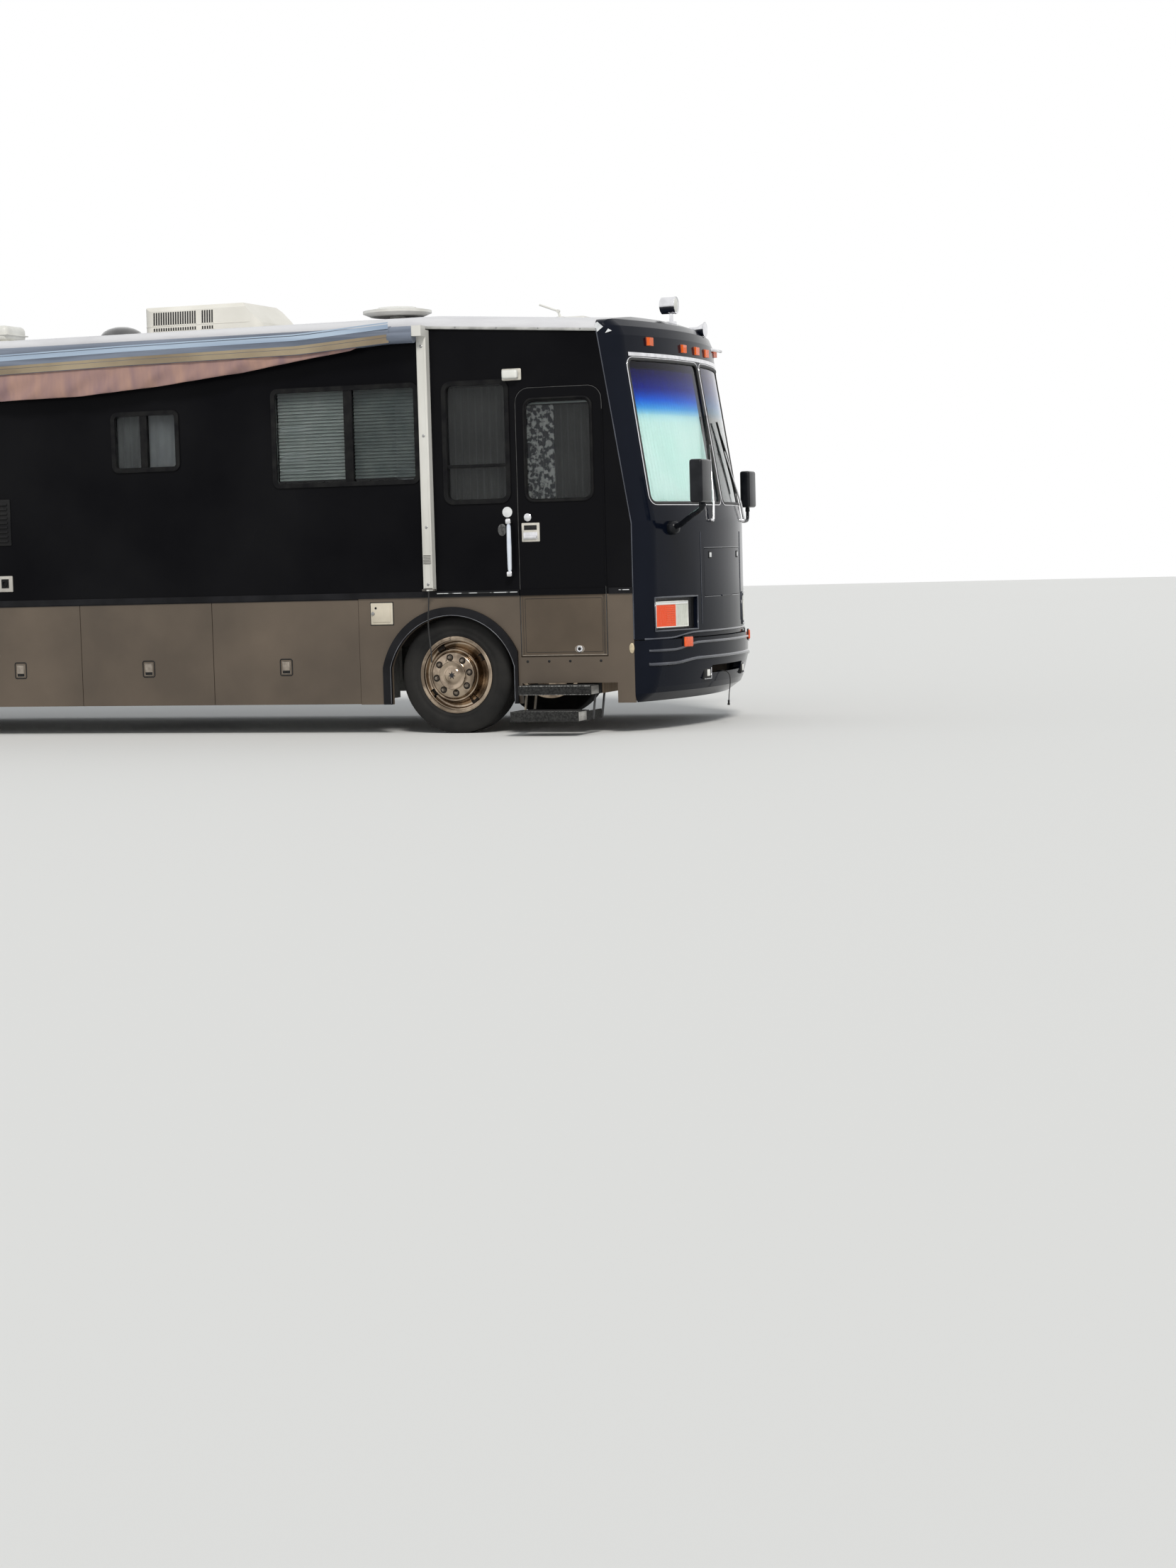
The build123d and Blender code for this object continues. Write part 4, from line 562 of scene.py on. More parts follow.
printed = cloth(
    "printed_cloth", ((0.035, 0.035, 0.040), (0.46, 0.44, 0.42)), pattern=26.0, spread=(0.47, 0.56),
)
dark_cloth = cloth("dark_curtain_cloth", ((0.030, 0.028, 0.026), (0.055, 0.052, 0.048)))
grey_cloth = cloth("grey_curtain_cloth", ((0.10, 0.10, 0.10), (0.17, 0.17, 0.165)))
pale_cloth = cloth("pale_curtain_cloth", ((0.26, 0.26, 0.26), (0.38, 0.38, 0.38)))
for name, from_x, to_x, y, low, high, folds, fabric, body, flat_width in (
    ("door_curtain", 4.345, 4.115, -1.160, 1.78, 2.50, 5, printed, "entry_door", 0.30),
    ("door_curtain_plain", 4.675, 4.350, -1.160, 1.78, 2.50, 6, dark_cloth, "entry_door", 0.42),
    ("passenger_curtain", 3.990, 3.470, -1.150, 1.79, 2.66, 9, dark_cloth, None, 0.70),
    ("small_window_curtain_rear", 0.850, 0.590, -1.150, 2.11, 2.58, 4, grey_cloth, None, 0.34),
    ("small_window_curtain_front", 1.180, 0.880, -1.150, 2.11, 2.58, 4, pale_cloth, None, 0.40),
):
    curtain = gathered((from_x, y), (to_x, y), low, high, folds, 0.010)
    curtain = fitted(name, curtain, fabric, body) if body else fitted(name, curtain, fabric)
curtain_rod = bar((4.110, -1.160, 2.515), (4.680, -1.160, 2.515), 0.007, edge=0.002)
fitted("door_curtain_rod", curtain_rod, slat_cream, "entry_door")

# The entry door is a laminated panel with a rubber seal, a long window in a clamped frame, a
# paddle latch in a cast plate, a round dead bolt above it and a small round vent near its foot.
# The door's tan below the belt carries the same painted shade as the skirts; above the belt it is black.
door_paint_painted_shade = finish("door_paint_painted_shade", ((0.135, 0.106, 0.080), (0.092, 0.073, 0.056)), 0.34, scale=1.1, bump=0.04,
                    bump_scale=7.0, gloss=0.04)


def painted_beyond(material, axis, edge, tone):
    """Paint a finish in a second, plain tone past a place along an axis."""
    tree = material.node_tree
    place = add_node(tree, "TexCoord", {})
    split = add_node(tree, "SeparateXYZ", {"Vector": place.outputs["Object"]})
    beyond = add_node(tree, "Math", {0: split.outputs[axis], 1: edge}, operation="GREATER_THAN")
    two_tone = add_node(tree, "Mix", {
        0: beyond.outputs["Value"], 6: tree.nodes["Color Ramp"].outputs["Color"], 7: (*tone, 1),
    }, data_type="RGBA")
    feed(tree.nodes["Principled BSDF"], {"Base Color": two_tone.outputs[2]})


painted_beyond(door_paint_painted_shade, "Z", 1.058, (0.005, 0.005, 0.006))
dress("entry_door", door_paint_painted_shade)
window_ring = [
    tube_along(rounded_outline(4.123, 4.667, 1.772, 2.546, 0.07, -1.2195), 0.010, closed=True),
    tube_along(rounded_outline(4.135, 4.655, 1.784, 2.534, 0.06, -1.214), 0.007, closed=True),
]
fitted("entry_window_ring", window_ring, frame_black, "entry_door")
seal_grey = finish("seal_grey", ((0.03, 0.03, 0.03), (0.07, 0.07, 0.07)), 0.6, scale=14.0)
seam_dark = finish("seam_dark", ((0.035, 0.028, 0.022), (0.018, 0.015, 0.012)), 0.6, scale=14.0)
door_y = -1.2193
door_line = [(4.055, door_y, 0.60), (4.055, door_y, 2.521)]
door_line += [
    (4.165 - 0.11 * math.cos(a), door_y, 2.521 + 0.11 * math.sin(a))
    for a in (0.3, 0.6, 0.9, 1.2, 1.5)
]
door_line += [
    (4.641 + 0.11 * math.sin(a), door_y, 2.521 + 0.11 * math.cos(a))
    for a in (0.07, 0.37, 0.67, 0.97, 1.27)
]
door_line += [(4.751, door_y, 2.50), (4.751, door_y, 0.60)]
fitted("entry_door_edge", tube_along(door_line, 0.0025), seal_grey, "entry_door")
lip = rounded_outline(4.093, 4.716, 0.622, 1.032, 0.006, -1.2195, 2)
lower_frame = [tube_along(lip, 0.0018, closed=True)]
for x, radius in ((4.0745, 0.0018), (4.727, 0.0022), (4.736, 0.0022)):
    lower_frame.append(tube_along([(x, -1.2192, 0.60), (x, -1.2192, 1.05)], radius))
fitted("entry_door_lower_lines", lower_frame, seam_dark, "entry_door")
foot_edge = block((4.062, -1.2225, 0.597), (4.748, -1.2185, 0.603), 0.001)
fitted("entry_door_foot_edge", foot_edge, latch_tan, "entry_door")
chrome = finish(
    "chrome", ((0.82, 0.82, 0.84), (0.68, 0.68, 0.70)), 0.1, scale=20.0, metallic=1.0, rough_spread=0.04,
)
latch_cream = finish("latch_cream", ((0.66, 0.63, 0.56), (0.52, 0.50, 0.45)), 0.35, scale=25.0)
plate = block((4.083, -1.228, 1.466), (4.229, -1.216, 1.610), 0.010, 3)
fitted("latch_plate", plate, latch_cream, "entry_door")
paddle = [
    block((4.098, -1.234, 1.486), (4.214, -1.226, 1.540), 0.005),
    block((4.104, -1.244, 1.490), (4.208, -1.232, 1.512), 0.005),
]
fitted("latch_paddle", paddle, chrome, "entry_door")
slot_black = block((4.104, -1.2295, 1.556), (4.208, -1.227, 1.592), 0.004)
fitted("latch_slot", slot_black, latch_dark, "entry_door")
bolt = spun([(0, 0.030), (0.008, 0.030), (0.012, 0.024), (0.016, 0.024), (0.018, 0.018), (0.018, 0.0)],
            (4.134, -1.218, 1.652), wall_out, 32)
fitted("dead_bolt", bolt, chrome, "entry_door")
foot_vent = (4.528, -1.2185, 0.644)
foot_plate = spun([(0, 0.029), (0.003, 0.029), (0.004, 0.026), (0.002, 0.022), (0.002, 0.0)], foot_vent,
                  wall_out, 36)


def stretched(piece, axis, middle, factor):
    """A turned piece drawn out to an oval along an axis."""
    for vertex in piece.data.vertices:
        vertex.co[axis] = middle + (vertex.co[axis] - middle) * factor
    return piece


fitted("door_foot_plate", stretched(foot_plate, 0, foot_vent[0], 1.38), latch_tan, "entry_door")
foot_ring = spun([(0, 0.025), (0.008, 0.025), (0.011, 0.021), (0.009, 0.013), (0.005, 0.012)], foot_vent,
                 wall_out, 32)
fitted("door_foot_ring", foot_ring, chrome, "entry_door")
foot_heart = spun([(0, 0.0125), (0.006, 0.0125), (0.006, 0.0)], foot_vent, wall_out, 24)
fitted("door_foot_heart", foot_heart, latch_dark, "entry_door")

# By the door hang a clear grab handle on chrome ends, an oval key plate, a plain round disc
# and the porch lamp in its white housing. Screws hold the panel under the door.
handle_clear = finish("handle_clear", ((0.72, 0.76, 0.82), (0.55, 0.62, 0.74)), 0.15, scale=6.0, coat=0.6)
grip = spun([(0, 0.012), (0.02, 0.016), (0.18, 0.018), (0.34, 0.016), (0.36, 0.012)], (3.9965, -1.275, 1.246),
            (0, 0, 1), 24)
fitted("grab_grip", grip, handle_clear)
ends = []
for z in (1.226, 1.626):
    ends.append(block((3.974, -1.296, z - 0.022), (4.019, -1.254, z + 0.022), 0.012, 3))
    ends.append(block((3.978, -1.262, z - 0.018), (4.015, -1.217, z + 0.018), 0.008, 3))
fitted("grab_ends", ends, chrome)
key_plate = spun([(0, 0.034), (0.005, 0.034), (0.008, 0.028), (0.008, 0.012), (0.012, 0.010), (0.012, 0.0)],
                 (3.922, -1.218, 1.563), wall_out, 36)
edge_grey = finish("edge_grey", ((0.05, 0.05, 0.05), (0.14, 0.14, 0.14)), 0.4, scale=60.0, metallic=0.5)
fitted("key_plate", stretched(key_plate, 2, 1.563, 1.35), edge_grey)
disc_white = finish("disc_white", ((0.74, 0.75, 0.75), (0.62, 0.63, 0.64)), 0.4, scale=18.0)
round_disc = spun([(0, 0.040), (0.0015, 0.040), (0.002, 0.038), (0.002, 0.0)], (3.968, -1.219, 1.697),
                  wall_out, 36)
fitted("round_disc", round_disc, disc_white)
lamp_white = finish("lamp_white", ((0.80, 0.80, 0.76), (0.68, 0.68, 0.64)), 0.3, scale=10.0)
fitted("porch_lamp_base", block((3.958, -1.240, 2.692), (4.115, -1.217, 2.781), 0.010, 3), latch_cream)
porch = block((3.972, -1.285, 2.702), (4.101, -1.236, 2.771), 0.018, 4)
fitted("porch_lamp", porch, lamp_white)
screw = [(0, 0.010), (0.003, 0.010), (0.005, 0.006), (0.005, 0.0)]
screws = [spun(screw, (x, -1.218, 0.553), wall_out, 16) for x in (4.101, 4.277, 4.448, 4.697)]
fitted("skirt_screws", screws, latch_dark)
amber = finish("amber_lens", ((0.90, 0.125, 0.012), (0.74, 0.080, 0.006)), 0.15, scale=40.0, coat=0.3)
reflector_pale = finish(
    "reflector_pale", ((0.62, 0.52, 0.34), (0.46, 0.38, 0.25)), 0.25, scale=60.0, coat=0.4,
)
lens_section = [(0, 0.020), (0.005, 0.0195), (0.009, 0.015), (0.010, 0.0)]
reflector = spun(lens_section, (4.947, -1.218, 0.644), wall_out, 32)
fitted("side_reflector", stretched(reflector, 2, 0.644, 2.0), reflector_pale)

# The front cap is one bowed glass-fibre moulding in a blue-black gel coat, over a bumper of the
# same. Vinyl beads cover its joints, and sealant has torn white at the top of its seam.
cap_paint = finish("cap_paint", ((0.0025, 0.004, 0.009), (0.006, 0.008, 0.015)), 0.14, scale=0.8, bump=0.03,
                   bump_scale=5.0, gloss=0.10)
for node in ("front_cap", "front_hatch", "bumpers"):
    dress(node, cap_paint)
# The beads and the headlamp recess rims are a lighter blue-grey than the cap, as a painted highlight along
# them.
bead_painted_highlight = finish("bead_painted_highlight", ((0.020, 0.024, 0.036), (0.050, 0.056, 0.075)), 0.2, scale=7.0, coat=0.5)
bow_radius = 3.2
# Height, and how far forward the middle of the bow stands there
cap_steps = ((0.706, 5.330), (1.600, 5.330), (1.722, 5.3075), (2.832, 5.1285), (3.000, 5.116), (3.070, 5.086),
             (3.125, 5.020), (3.165, 4.910), (3.205, 4.660))
bumper_steps = ((0.232, 5.198), (0.300, 5.294), (0.345, 5.315), (0.510, 5.358), (0.700, 5.364))


def nose(z, steps=cap_steps):
    """How far forward the middle of the bow stands at a height."""
    for (z0, x0), (z1, x1) in zip(steps, steps[1:]):
        if z <= z1:
            return x0 + (x1 - x0) * (z - z0) / (z1 - z0)
    return steps[-1][1]


def on_face(y, z, out=0.0, steps=cap_steps):
    """A point on the bowed face, or off it by a distance."""
    angle = math.asin(y / bow_radius)
    back = bow_radius * (1 - math.cos(angle))
    return (nose(z, steps) - back + out * math.cos(angle), y + out * math.sin(angle), z)


def round_nose(z, side_z, out, steps):
    """Points from the right corner round the bow to the left corner, lower towards the corners."""
    corner_x = nose(z, steps) - 0.3435
    points = []
    for k in range(2, 7):
        a = math.radians(-90 + 69.48 * k / 6)
        points.append((corner_x + (0.15 + out) * math.cos(a), -1.069 + (0.15 + out) * math.sin(a), side_z))
    for k in range(1, 16):
        y = -1.1216 * (1 - k / 15)
        rise = min(1.0, max(0.0, (1.0 + y) / 0.35))
        points.append(on_face(y, side_z + (z - side_z) * rise * rise * (3 - 2 * rise), out, steps))
    return points + [(x, -y, h) for x, y, h in reversed(points[:-1])]


def set_on_nose(pieces, y, z, steps=cap_steps):
    """Set pieces, built round the origin and facing forwards, on the bowed face."""
    move = Matrix.Translation(on_face(y, z, 0.0, steps)) @ Matrix.Rotation(math.asin(y / bow_radius), 4, "Z")
    for piece in pieces:
        piece.data.transform(move)
        piece.data.update()
    return pieces


beads = [
    tube_along(round_nose(0.545, 0.519, 0.001, bumper_steps), 0.013),
    tube_along(round_nose(0.665, 0.621, 0.001, bumper_steps), 0.011),
    tube_along(round_nose(0.742, 0.708, 0.001, cap_steps), 0.010),
]
for side in (-1, 1):
    beads.append(tube_along([on_face(side * 0.52, 0.80 + 0.0711 * k, 0.001) for k in range(11)], 0.003))
    beads.append(tube_along([
        (4.966, side * 1.2195, 0.712), (4.966, side * 1.2195, 1.585), (4.7235, side * 1.2195, 3.05),
    ], 0.005))
for z in (1.0085, 1.3875):
    beads.append(tube_along([on_face(-0.470 + 0.0783 * k, z, 0.0005) for k in range(13)], 0.0028))
fitted("cap_beads", beads, bead_painted_highlight)
sealant = finish(
    "sealant_white", ((0.80, 0.81, 0.82), (0.60, 0.62, 0.64)), 0.5, scale=30.0, bump=0.3, bump_scale=60.0,
)
torn = [
    traced([
        (4.728, -1.2185, 3.020), (4.782, -1.2185, 3.060), (4.760, -1.2185, 3.078), (4.738, -1.2185, 3.098),
        (4.716, -1.2185, 3.088),
    ], (0, -0.0035, 0)),
    traced([(4.797, -1.2185, 3.012), (4.850, -1.2185, 3.026), (4.822, -1.2185, 3.044)], (0, -0.003, 0)),
]
fitted("torn_sealant", torn, sealant)

# The nose hatch is a panel of the cap's own moulding, held shut by two square push latches with
# pale faces in dark surrounds.
hatch_surrounds, hatch_latches = [], []
for y in (-0.354, 0.370):
    hatch_surrounds += set_on_nose([block((-0.004, -0.027, -0.027), (0.0045, 0.027, 0.027), 0.003)], y, 1.331)
    hatch_latches += set_on_nose([block((0.002, -0.018, -0.018), (0.008, 0.018, 0.018), 0.003)], y, 1.331)
fitted("hatch_latch_surrounds", hatch_surrounds, latch_dark, "front_hatch")
fitted("hatch_latches", hatch_latches, disc_white, "front_hatch")

# Amber markers sit on the bumper's face in black bases, and below them small white lamps in
# square black surrounds with a bright lip, beside the slot. Each lens is moulded plastic.
marker_bases, marker_lenses, square_bezels, square_lips, square_lenses = [], [], [], [], []
for side in (-1, 1):
    y = side * 0.812
    marker_bases += set_on_nose([block(
        (-0.006, -0.066, -0.045), (0.006, 0.066, 0.045), 0.005,
    )], y, 0.6735, bumper_steps)
    lens = [block((0.002, -0.058, -0.038), (0.018, 0.058, 0.038), 0.010, 4)]
    for k in range(5):
        lens.append(block(
            (0.014, -0.050, -0.0305 + k * 0.0145), (0.0195, 0.050, -0.0275 + k * 0.0145), 0.001,
        ))
    marker_lenses += set_on_nose(lens, y, 0.6735, bumper_steps)
    y = side * 0.466
    square_bezels += set_on_nose([block(
        (-0.030, -0.064, -0.048), (0.008, 0.064, 0.048), 0.008, 3,
    )], y, 0.4185, bumper_steps)
    lip_line = [
        (0.010, -0.058, -0.040), (0.010, -0.058, -0.046), (0.010, 0.058, -0.046), (0.010, 0.060, 0.040),
    ]
    square_lips += set_on_nose([tube_along(lip_line, 0.0035)], y, 0.4185, bumper_steps)
    square_lenses += set_on_nose([block(
        (0.004, -0.012, -0.026), (0.015, 0.034, 0.026), 0.006, 3,
    )], y, 0.4185, bumper_steps)
fitted("marker_bases", marker_bases, latch_dark)
fitted("marker_lenses", marker_lenses, amber)
fitted("square_lamp_bezels", square_bezels, latch_dark)
fitted("square_lamp_lips", square_lips, chrome)
fitted("square_lamp_lenses", square_lenses, lamp_white)

# The windscreen is two bowed panes of laminated glass with a blue band along the top, each in a
# black rubber gasket with a thin bright trim strip, and a thick bright band over both.
screen_glass = glazing("screen_glass", (0.93, 0.99, 0.98))
tree = screen_glass.node_tree
place = add_node(tree, "TexCoord", {})
height = add_node(tree, "SeparateXYZ", {"Vector": place.outputs["Object"]})
band = add_node(tree, "MapRange", {"Value": height.outputs["Z"], "From Min": 2.40, "From Max": 2.80})
shade_tones = tone_ramp(tree, band.outputs["Result"], (
    (0.0, (0.95, 0.99, 0.98)), (1.0, (0.06, 0.05, 0.20)), (0.14, (0.30, 0.66, 0.98)),
    (0.30, (0.06, 0.34, 0.92)), (0.52, (0.05, 0.10, 0.50)), (0.80, (0.05, 0.04, 0.30)),
))
shaded = add_node(tree, "Mix", {0: 1.0, 6: tree.nodes["Color Ramp"].outputs["Color"], 7: shade_tones},
                  data_type="RGBA", blend_type="MULTIPLY")
feed(tree.nodes["Principled BSDF"], {"Base Color": shaded.outputs[2]})
dress("windshield", screen_glass)


def pane_line(side, grow, out):
    """Points round a windscreen pane, on the bow."""
    low, high = 1.731 - grow, 2.823 + grow
    inner, low_y, high_y = 0.022 - grow, 1.135 + grow, 1.120 + grow
    r = 0.06 + grow
    flat = []
    for cy, cz, begin in ((low_y - r, low + r, -90), (high_y - r, high - r, 0), (inner + r, high - r, 90),
                          (inner + r, low + r, 180)):
        for k in range(6):
            a = math.radians(begin + 90 * k / 5)
            flat.append((cy + r * math.cos(a), cz + r * math.sin(a)))
    points = []
    for (y0, z0), (y1, z1) in zip(flat, flat[1:] + flat[:1]):
        parts = max(1, int(math.hypot(y1 - y0, z1 - z0) / 0.08))
        points += [
            on_face(side * (y0 + (y1 - y0) * k / parts), z0 + (z1 - z0) * k / parts, out)
            for k in range(parts)
        ]
    return points


def strip_along(points, rise, thickness):
    """A flat strip standing on a line of points."""
    drawn(points)
    bpy.ops.mesh.select_all(action="SELECT")
    bpy.ops.mesh.extrude_region_move(TRANSFORM_OT_translate={"value": Vector(rise)})
    bpy.ops.mesh.select_all(action="SELECT")
    bpy.ops.mesh.normals_make_consistent(inside=False)
    bpy.ops.object.mode_set(mode="OBJECT")
    return modified(bpy.context.object, "SOLIDIFY", thickness=thickness, offset=0)


gasket = finish("gasket_rubber", ((0.012, 0.012, 0.012), (0.03, 0.03, 0.03)), 0.55, scale=11.0)
for name, grow, out, radius, material in (
    ("screen_gaskets", -0.002, -0.003, 0.012, gasket), ("screen_trim", 0.012, 0.002, 0.0045, chrome),
):
    rings = [tube_along(pane_line(side, grow, out), radius, closed=True) for side in (-1, 1)]
    fitted(name, rings, material)
band_line = [on_face(-1.10 + 0.05 * k, 2.842, 0.003) for k in range(45)]
top_band = strip_along(band_line, (-0.002, 0, 0.030), 0.006)
fitted("screen_top_band", soften(top_band, 0.002), chrome)

# A pale aqua pleated curtain is drawn behind the right pane, hung from a rod under the roof.
aqua = cloth("aqua_curtain_cloth", ((0.70, 0.92, 0.88), (0.80, 0.96, 0.94)), sheen=0.2)
start_piece()
bpy.ops.mesh.primitive_grid_add(x_subdivisions=224, y_subdivisions=8, size=1)
screen_curtain = bpy.context.object
for vertex in screen_curtain.data.vertices:
    u, v = vertex.co.x + 0.5, vertex.co.y + 0.5
    pleat = math.sin(2 * math.pi * 28 * u) + 0.3 * math.sin(2 * math.pi * 9.3 * u + 0.8)
    vertex.co = on_face(-1.115 + 1.085 * u, 1.735 + 1.015 * v, -0.057 + 0.0075 * pleat * (1.1 - 0.25 * v))
bpy.ops.object.shade_smooth()
fitted("screen_curtain", screen_curtain, aqua)
curtain_rail = tube_along([on_face(-1.12 + 0.0561 * k, 2.757, -0.058) for k in range(41)], 0.006)
fitted("screen_curtain_rail", curtain_rail, latch_metal)

# The wipers are chromed pantograph arms on round pivots below the glass, with black blades. One
# is parked up on each pane, leaning towards the middle.
arms, blades = [], []
for pivot_y, pivot_z, tip_y, tip_z in ((-0.330, 1.600, -0.105, 2.190), (0.689, 1.603, 0.312, 2.150)):
    reach_y = tip_y - pivot_y
    pivot = Vector(on_face(pivot_y, pivot_z, 0.026))
    knee = Vector(on_face(pivot_y + 0.25 * reach_y, 1.75, 0.034))
    tip = Vector(on_face(tip_y, tip_z, 0.020))
    low_end = Vector(on_face(pivot_y + 0.45 * reach_y, tip_z - 0.33, 0.018))
    high_end = Vector(on_face(tip_y + 0.2 * reach_y, tip_z + 0.23, 0.018))
    arms.append(bar(
        on_face(pivot_y, pivot_z, -0.010), on_face(pivot_y, pivot_z, 0.030), 0.017, 0.013, 24, 0.003,
    ))
    arms.append(bar(pivot, knee, 0.0085, 0.007, 16))
    arms.append(bar(knee, tip, 0.0075, 0.005, 16))
    arms.append(bar(pivot + Vector((0.0, 0.022, 0.006)), knee + Vector((0.0, 0.020, 0.0)), 0.004, 0.004, 12))
    arms.append(bar(knee + Vector((-0.008, 0, 0)), knee + Vector((0.006, 0, 0)), 0.012, 0.010, 20, 0.002))
    mid = low_end.lerp(high_end, 0.5)
    blades.append(tube_along([low_end, mid, high_end], 0.005))
    blades.append(tube_along([
        low_end.lerp(high_end, 0.18) + Vector((0.002, 0, 0)), mid + Vector((0.012, 0, 0)),
        low_end.lerp(high_end, 0.82) + Vector((0.002, 0, 0)),
    ], 0.004))
    blades.append(strip_along([
        low_end + Vector((-0.002, 0, 0)), high_end + Vector((-0.002, 0, 0)),
    ], (-0.010, 0, 0), 0.003))
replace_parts(fitted("wiper_arms", arms, chrome), "wipers")
fitted("wiper_blades", blades, latch_dark)

# Headlamps are sealed beams behind fluted glass with an amber turn lens at the outer end, in
# bright bezels. The brow carries five small amber lamps, and the tail has two red clusters.
lamp_lens, tree, shader = new_material("lamp_lens")
place = add_node(tree, "TexCoord", {}).outputs["Object"]
split = add_node(tree, "SeparateXYZ", {"Vector": place}).outputs
reach = add_node(tree, "Math", {0: split["Y"]}, operation="ABSOLUTE").outputs[0]
glass_cloud = add_node(tree, "TexNoise", {"Vector": place, "Scale": 24.0})
colour_now = tone_ramp(tree, glass_cloud.outputs["Fac"], ((0, (0.52, 0.54, 0.48)), (1, (0.78, 0.80, 0.72))))
white, orange, dark = (0.80, 0.82, 0.84), (0.86, 0.075, 0.008), (0.003, 0.003, 0.004)
brow_amber, tail_red = (0.92, 0.14, 0.012), (0.45, 0.01, 0.01)
# A lens is told by its place: turn lens, white rims, dark edges, brow lamps, tail lamps
for source, operation, edge, tone in (
    (reach, "GREATER_THAN", 0.898, orange), (split["Z"], "GREATER_THAN", 0.966, white),
    (reach, "GREATER_THAN", 1.132, white), (split["Z"], "LESS_THAN", 0.797, white),
    (reach, "LESS_THAN", 0.7328, dark), (reach, "GREATER_THAN", 1.1405, dark),
    (split["Z"], "LESS_THAN", 0.7908, dark), (split["Z"], "GREATER_THAN", 0.9862, dark),
    (split["Z"], "GREATER_THAN", 2.0, brow_amber), (split["X"], "LESS_THAN", 0.0, tail_red),
):
    test = add_node(tree, "Math", {0: source, 1: edge}, operation=operation)
    change = add_node(tree, "Mix", {0: test.outputs["Value"], 6: colour_now, 7: (*tone, 1)}, data_type="RGBA")
    colour_now = change.outputs[2]
flutes = add_node(tree, "TexWave", {"Vector": place, "Scale": 22.0}, bands_direction="Y")
relief = add_node(tree, "Bump", {"Height": flutes.outputs["Fac"], "Strength": 0.7, "Distance": 0.003})
feed(shader, {
    "Roughness": 0.1, "Coat Weight": 0.15, "Specular IOR Level": 0.25, "Base Color": colour_now,
    "Normal": relief.outputs["Normal"],
})
dress("lamps", lamp_lens)


def face_box(y0, y1, z0, z1, out):
    """Points round a rectangle on the bowed face."""
    across = [y0 + (y1 - y0) * k / 6 for k in range(7)]
    low = [on_face(y, z0, out) for y in across]
    return low + [on_face(y, z1, out) for y in reversed(across)]


recess_rims, lens_frames, lens_ribs = [], [], []
for side in (-1, 1):
    recess_rims.append(tube_along(
        face_box(side * 0.592, side * 1.153, 0.766, 1.020, 0.001), 0.008, closed=True,
    ))
    lens_frames.append(tube_along(
        face_box(side * 0.735, side * 1.138, 0.793, 0.984, -0.004), 0.0055, closed=True,
    ))
    lens_frames.append(tube_along([
        on_face(side * 0.898, 0.800, -0.003), on_face(side * 0.898, 0.962, -0.003),
    ], 0.004))
    lens_frames.append(tube_along([
        on_face(side * (0.735 + 0.067 * k), 0.966, -0.003)
        for k in range(7)
    ], 0.004))
    for k in range(9):
        z = 0.812 + 0.0168 * k
        lens_ribs.append(tube_along([on_face(side * y, z, -0.0035) for y in (0.910, 0.965, 1.020)], 0.0025))
# The recess rims carry the beads' lighter tone as a painted highlight.
fitted("headlamp_recess_rims", recess_rims, bead_painted_highlight)
fitted("headlamp_frames", lens_frames, lamp_white)
fitted("headlamp_lens_ribs", lens_ribs, amber)
brow_rims = []
for y, z in ((-0.820, 2.960), (-0.290, 2.931), (0.0, 2.929), (0.290, 2.927), (0.820, 2.960)):
    brow_rims += set_on_nose([block((-0.008, -0.049, -0.034), (0.007, 0.049, 0.034), 0.005)], y, z)
rim_red = finish("rim_red", ((0.20, 0.03, 0.015), (0.30, 0.06, 0.02)), 0.3, scale=30.0)
fitted("brow_lamp_rims", brow_rims, rim_red)
brow_bracket = [bar((5.052, 0.600, 2.981), (5.052, 0.904, 2.981), 0.012, edge=0.003)]
for y in (0.64, 0.86):
    brow_bracket.append(bar(on_face(y, 2.975, -0.004), (5.052, y, 2.981), 0.009, 0.007, 16))
fitted("brow_bracket", brow_bracket, chrome)
tail_bezels = []
for side in (-1, 1):
    points = [
        (-5.502, side * 1.020 + a * 0.063, 1.100 + b * 0.203)
        for a, b in ((-1, -1), (1, -1), (1, 1), (-1, 1))
    ]
    tail_bezels.append(tube_along(points, 0.006, closed=True))
    for z in (1.033, 1.167):
        tail_bezels.append(bar((-5.5245, side * 1.020 - 0.058, z), (-5.5245, side * 1.020 + 0.058, z), 0.003))
fitted("tail_lamp_bezels", tail_bezels, chrome)

# A chromed spotlight on a yoke and a chromed trumpet horn stand on the brow.
dress("horn_and_spotlight", chrome)
spot = [
    spun([
        (0.120, 0.0), (0.121, 0.041), (0.124, 0.058), (0.127, 0.068), (0.120, 0.070), (0.110, 0.068),
    ], (4.798, 0.144, 3.310), (1, 0, 0), 40),
    spun([
        (0.010, 0.064), (-0.008, 0.048), (-0.016, 0.026), (-0.018, 0.0),
    ], (4.808, 0.144, 3.310), (1, 0, 0), 40),
]
fitted("spotlight_shell", spot, chrome)
fitted(
    "spotlight_lens",
    spun([(0, 0.055), (0.004, 0.053), (0.008, 0.032), (0.010, 0.0)], (4.9185, 0.144, 3.310), (1, 0, 0), 36),
    lamp_white,
)
trumpet = spun([
    (0.0, 0.022), (0.064, 0.026), (0.097, 0.038), (0.118, 0.0610), (0.123, 0.0620), (0.120, 0.055),
    (0.098, 0.028), (0.06, 0.012), (0.05, 0.0),
], (4.941, 0.450, 3.130), (1, 0, 0), 36)
fitted("horn_bell", trumpet, chrome)

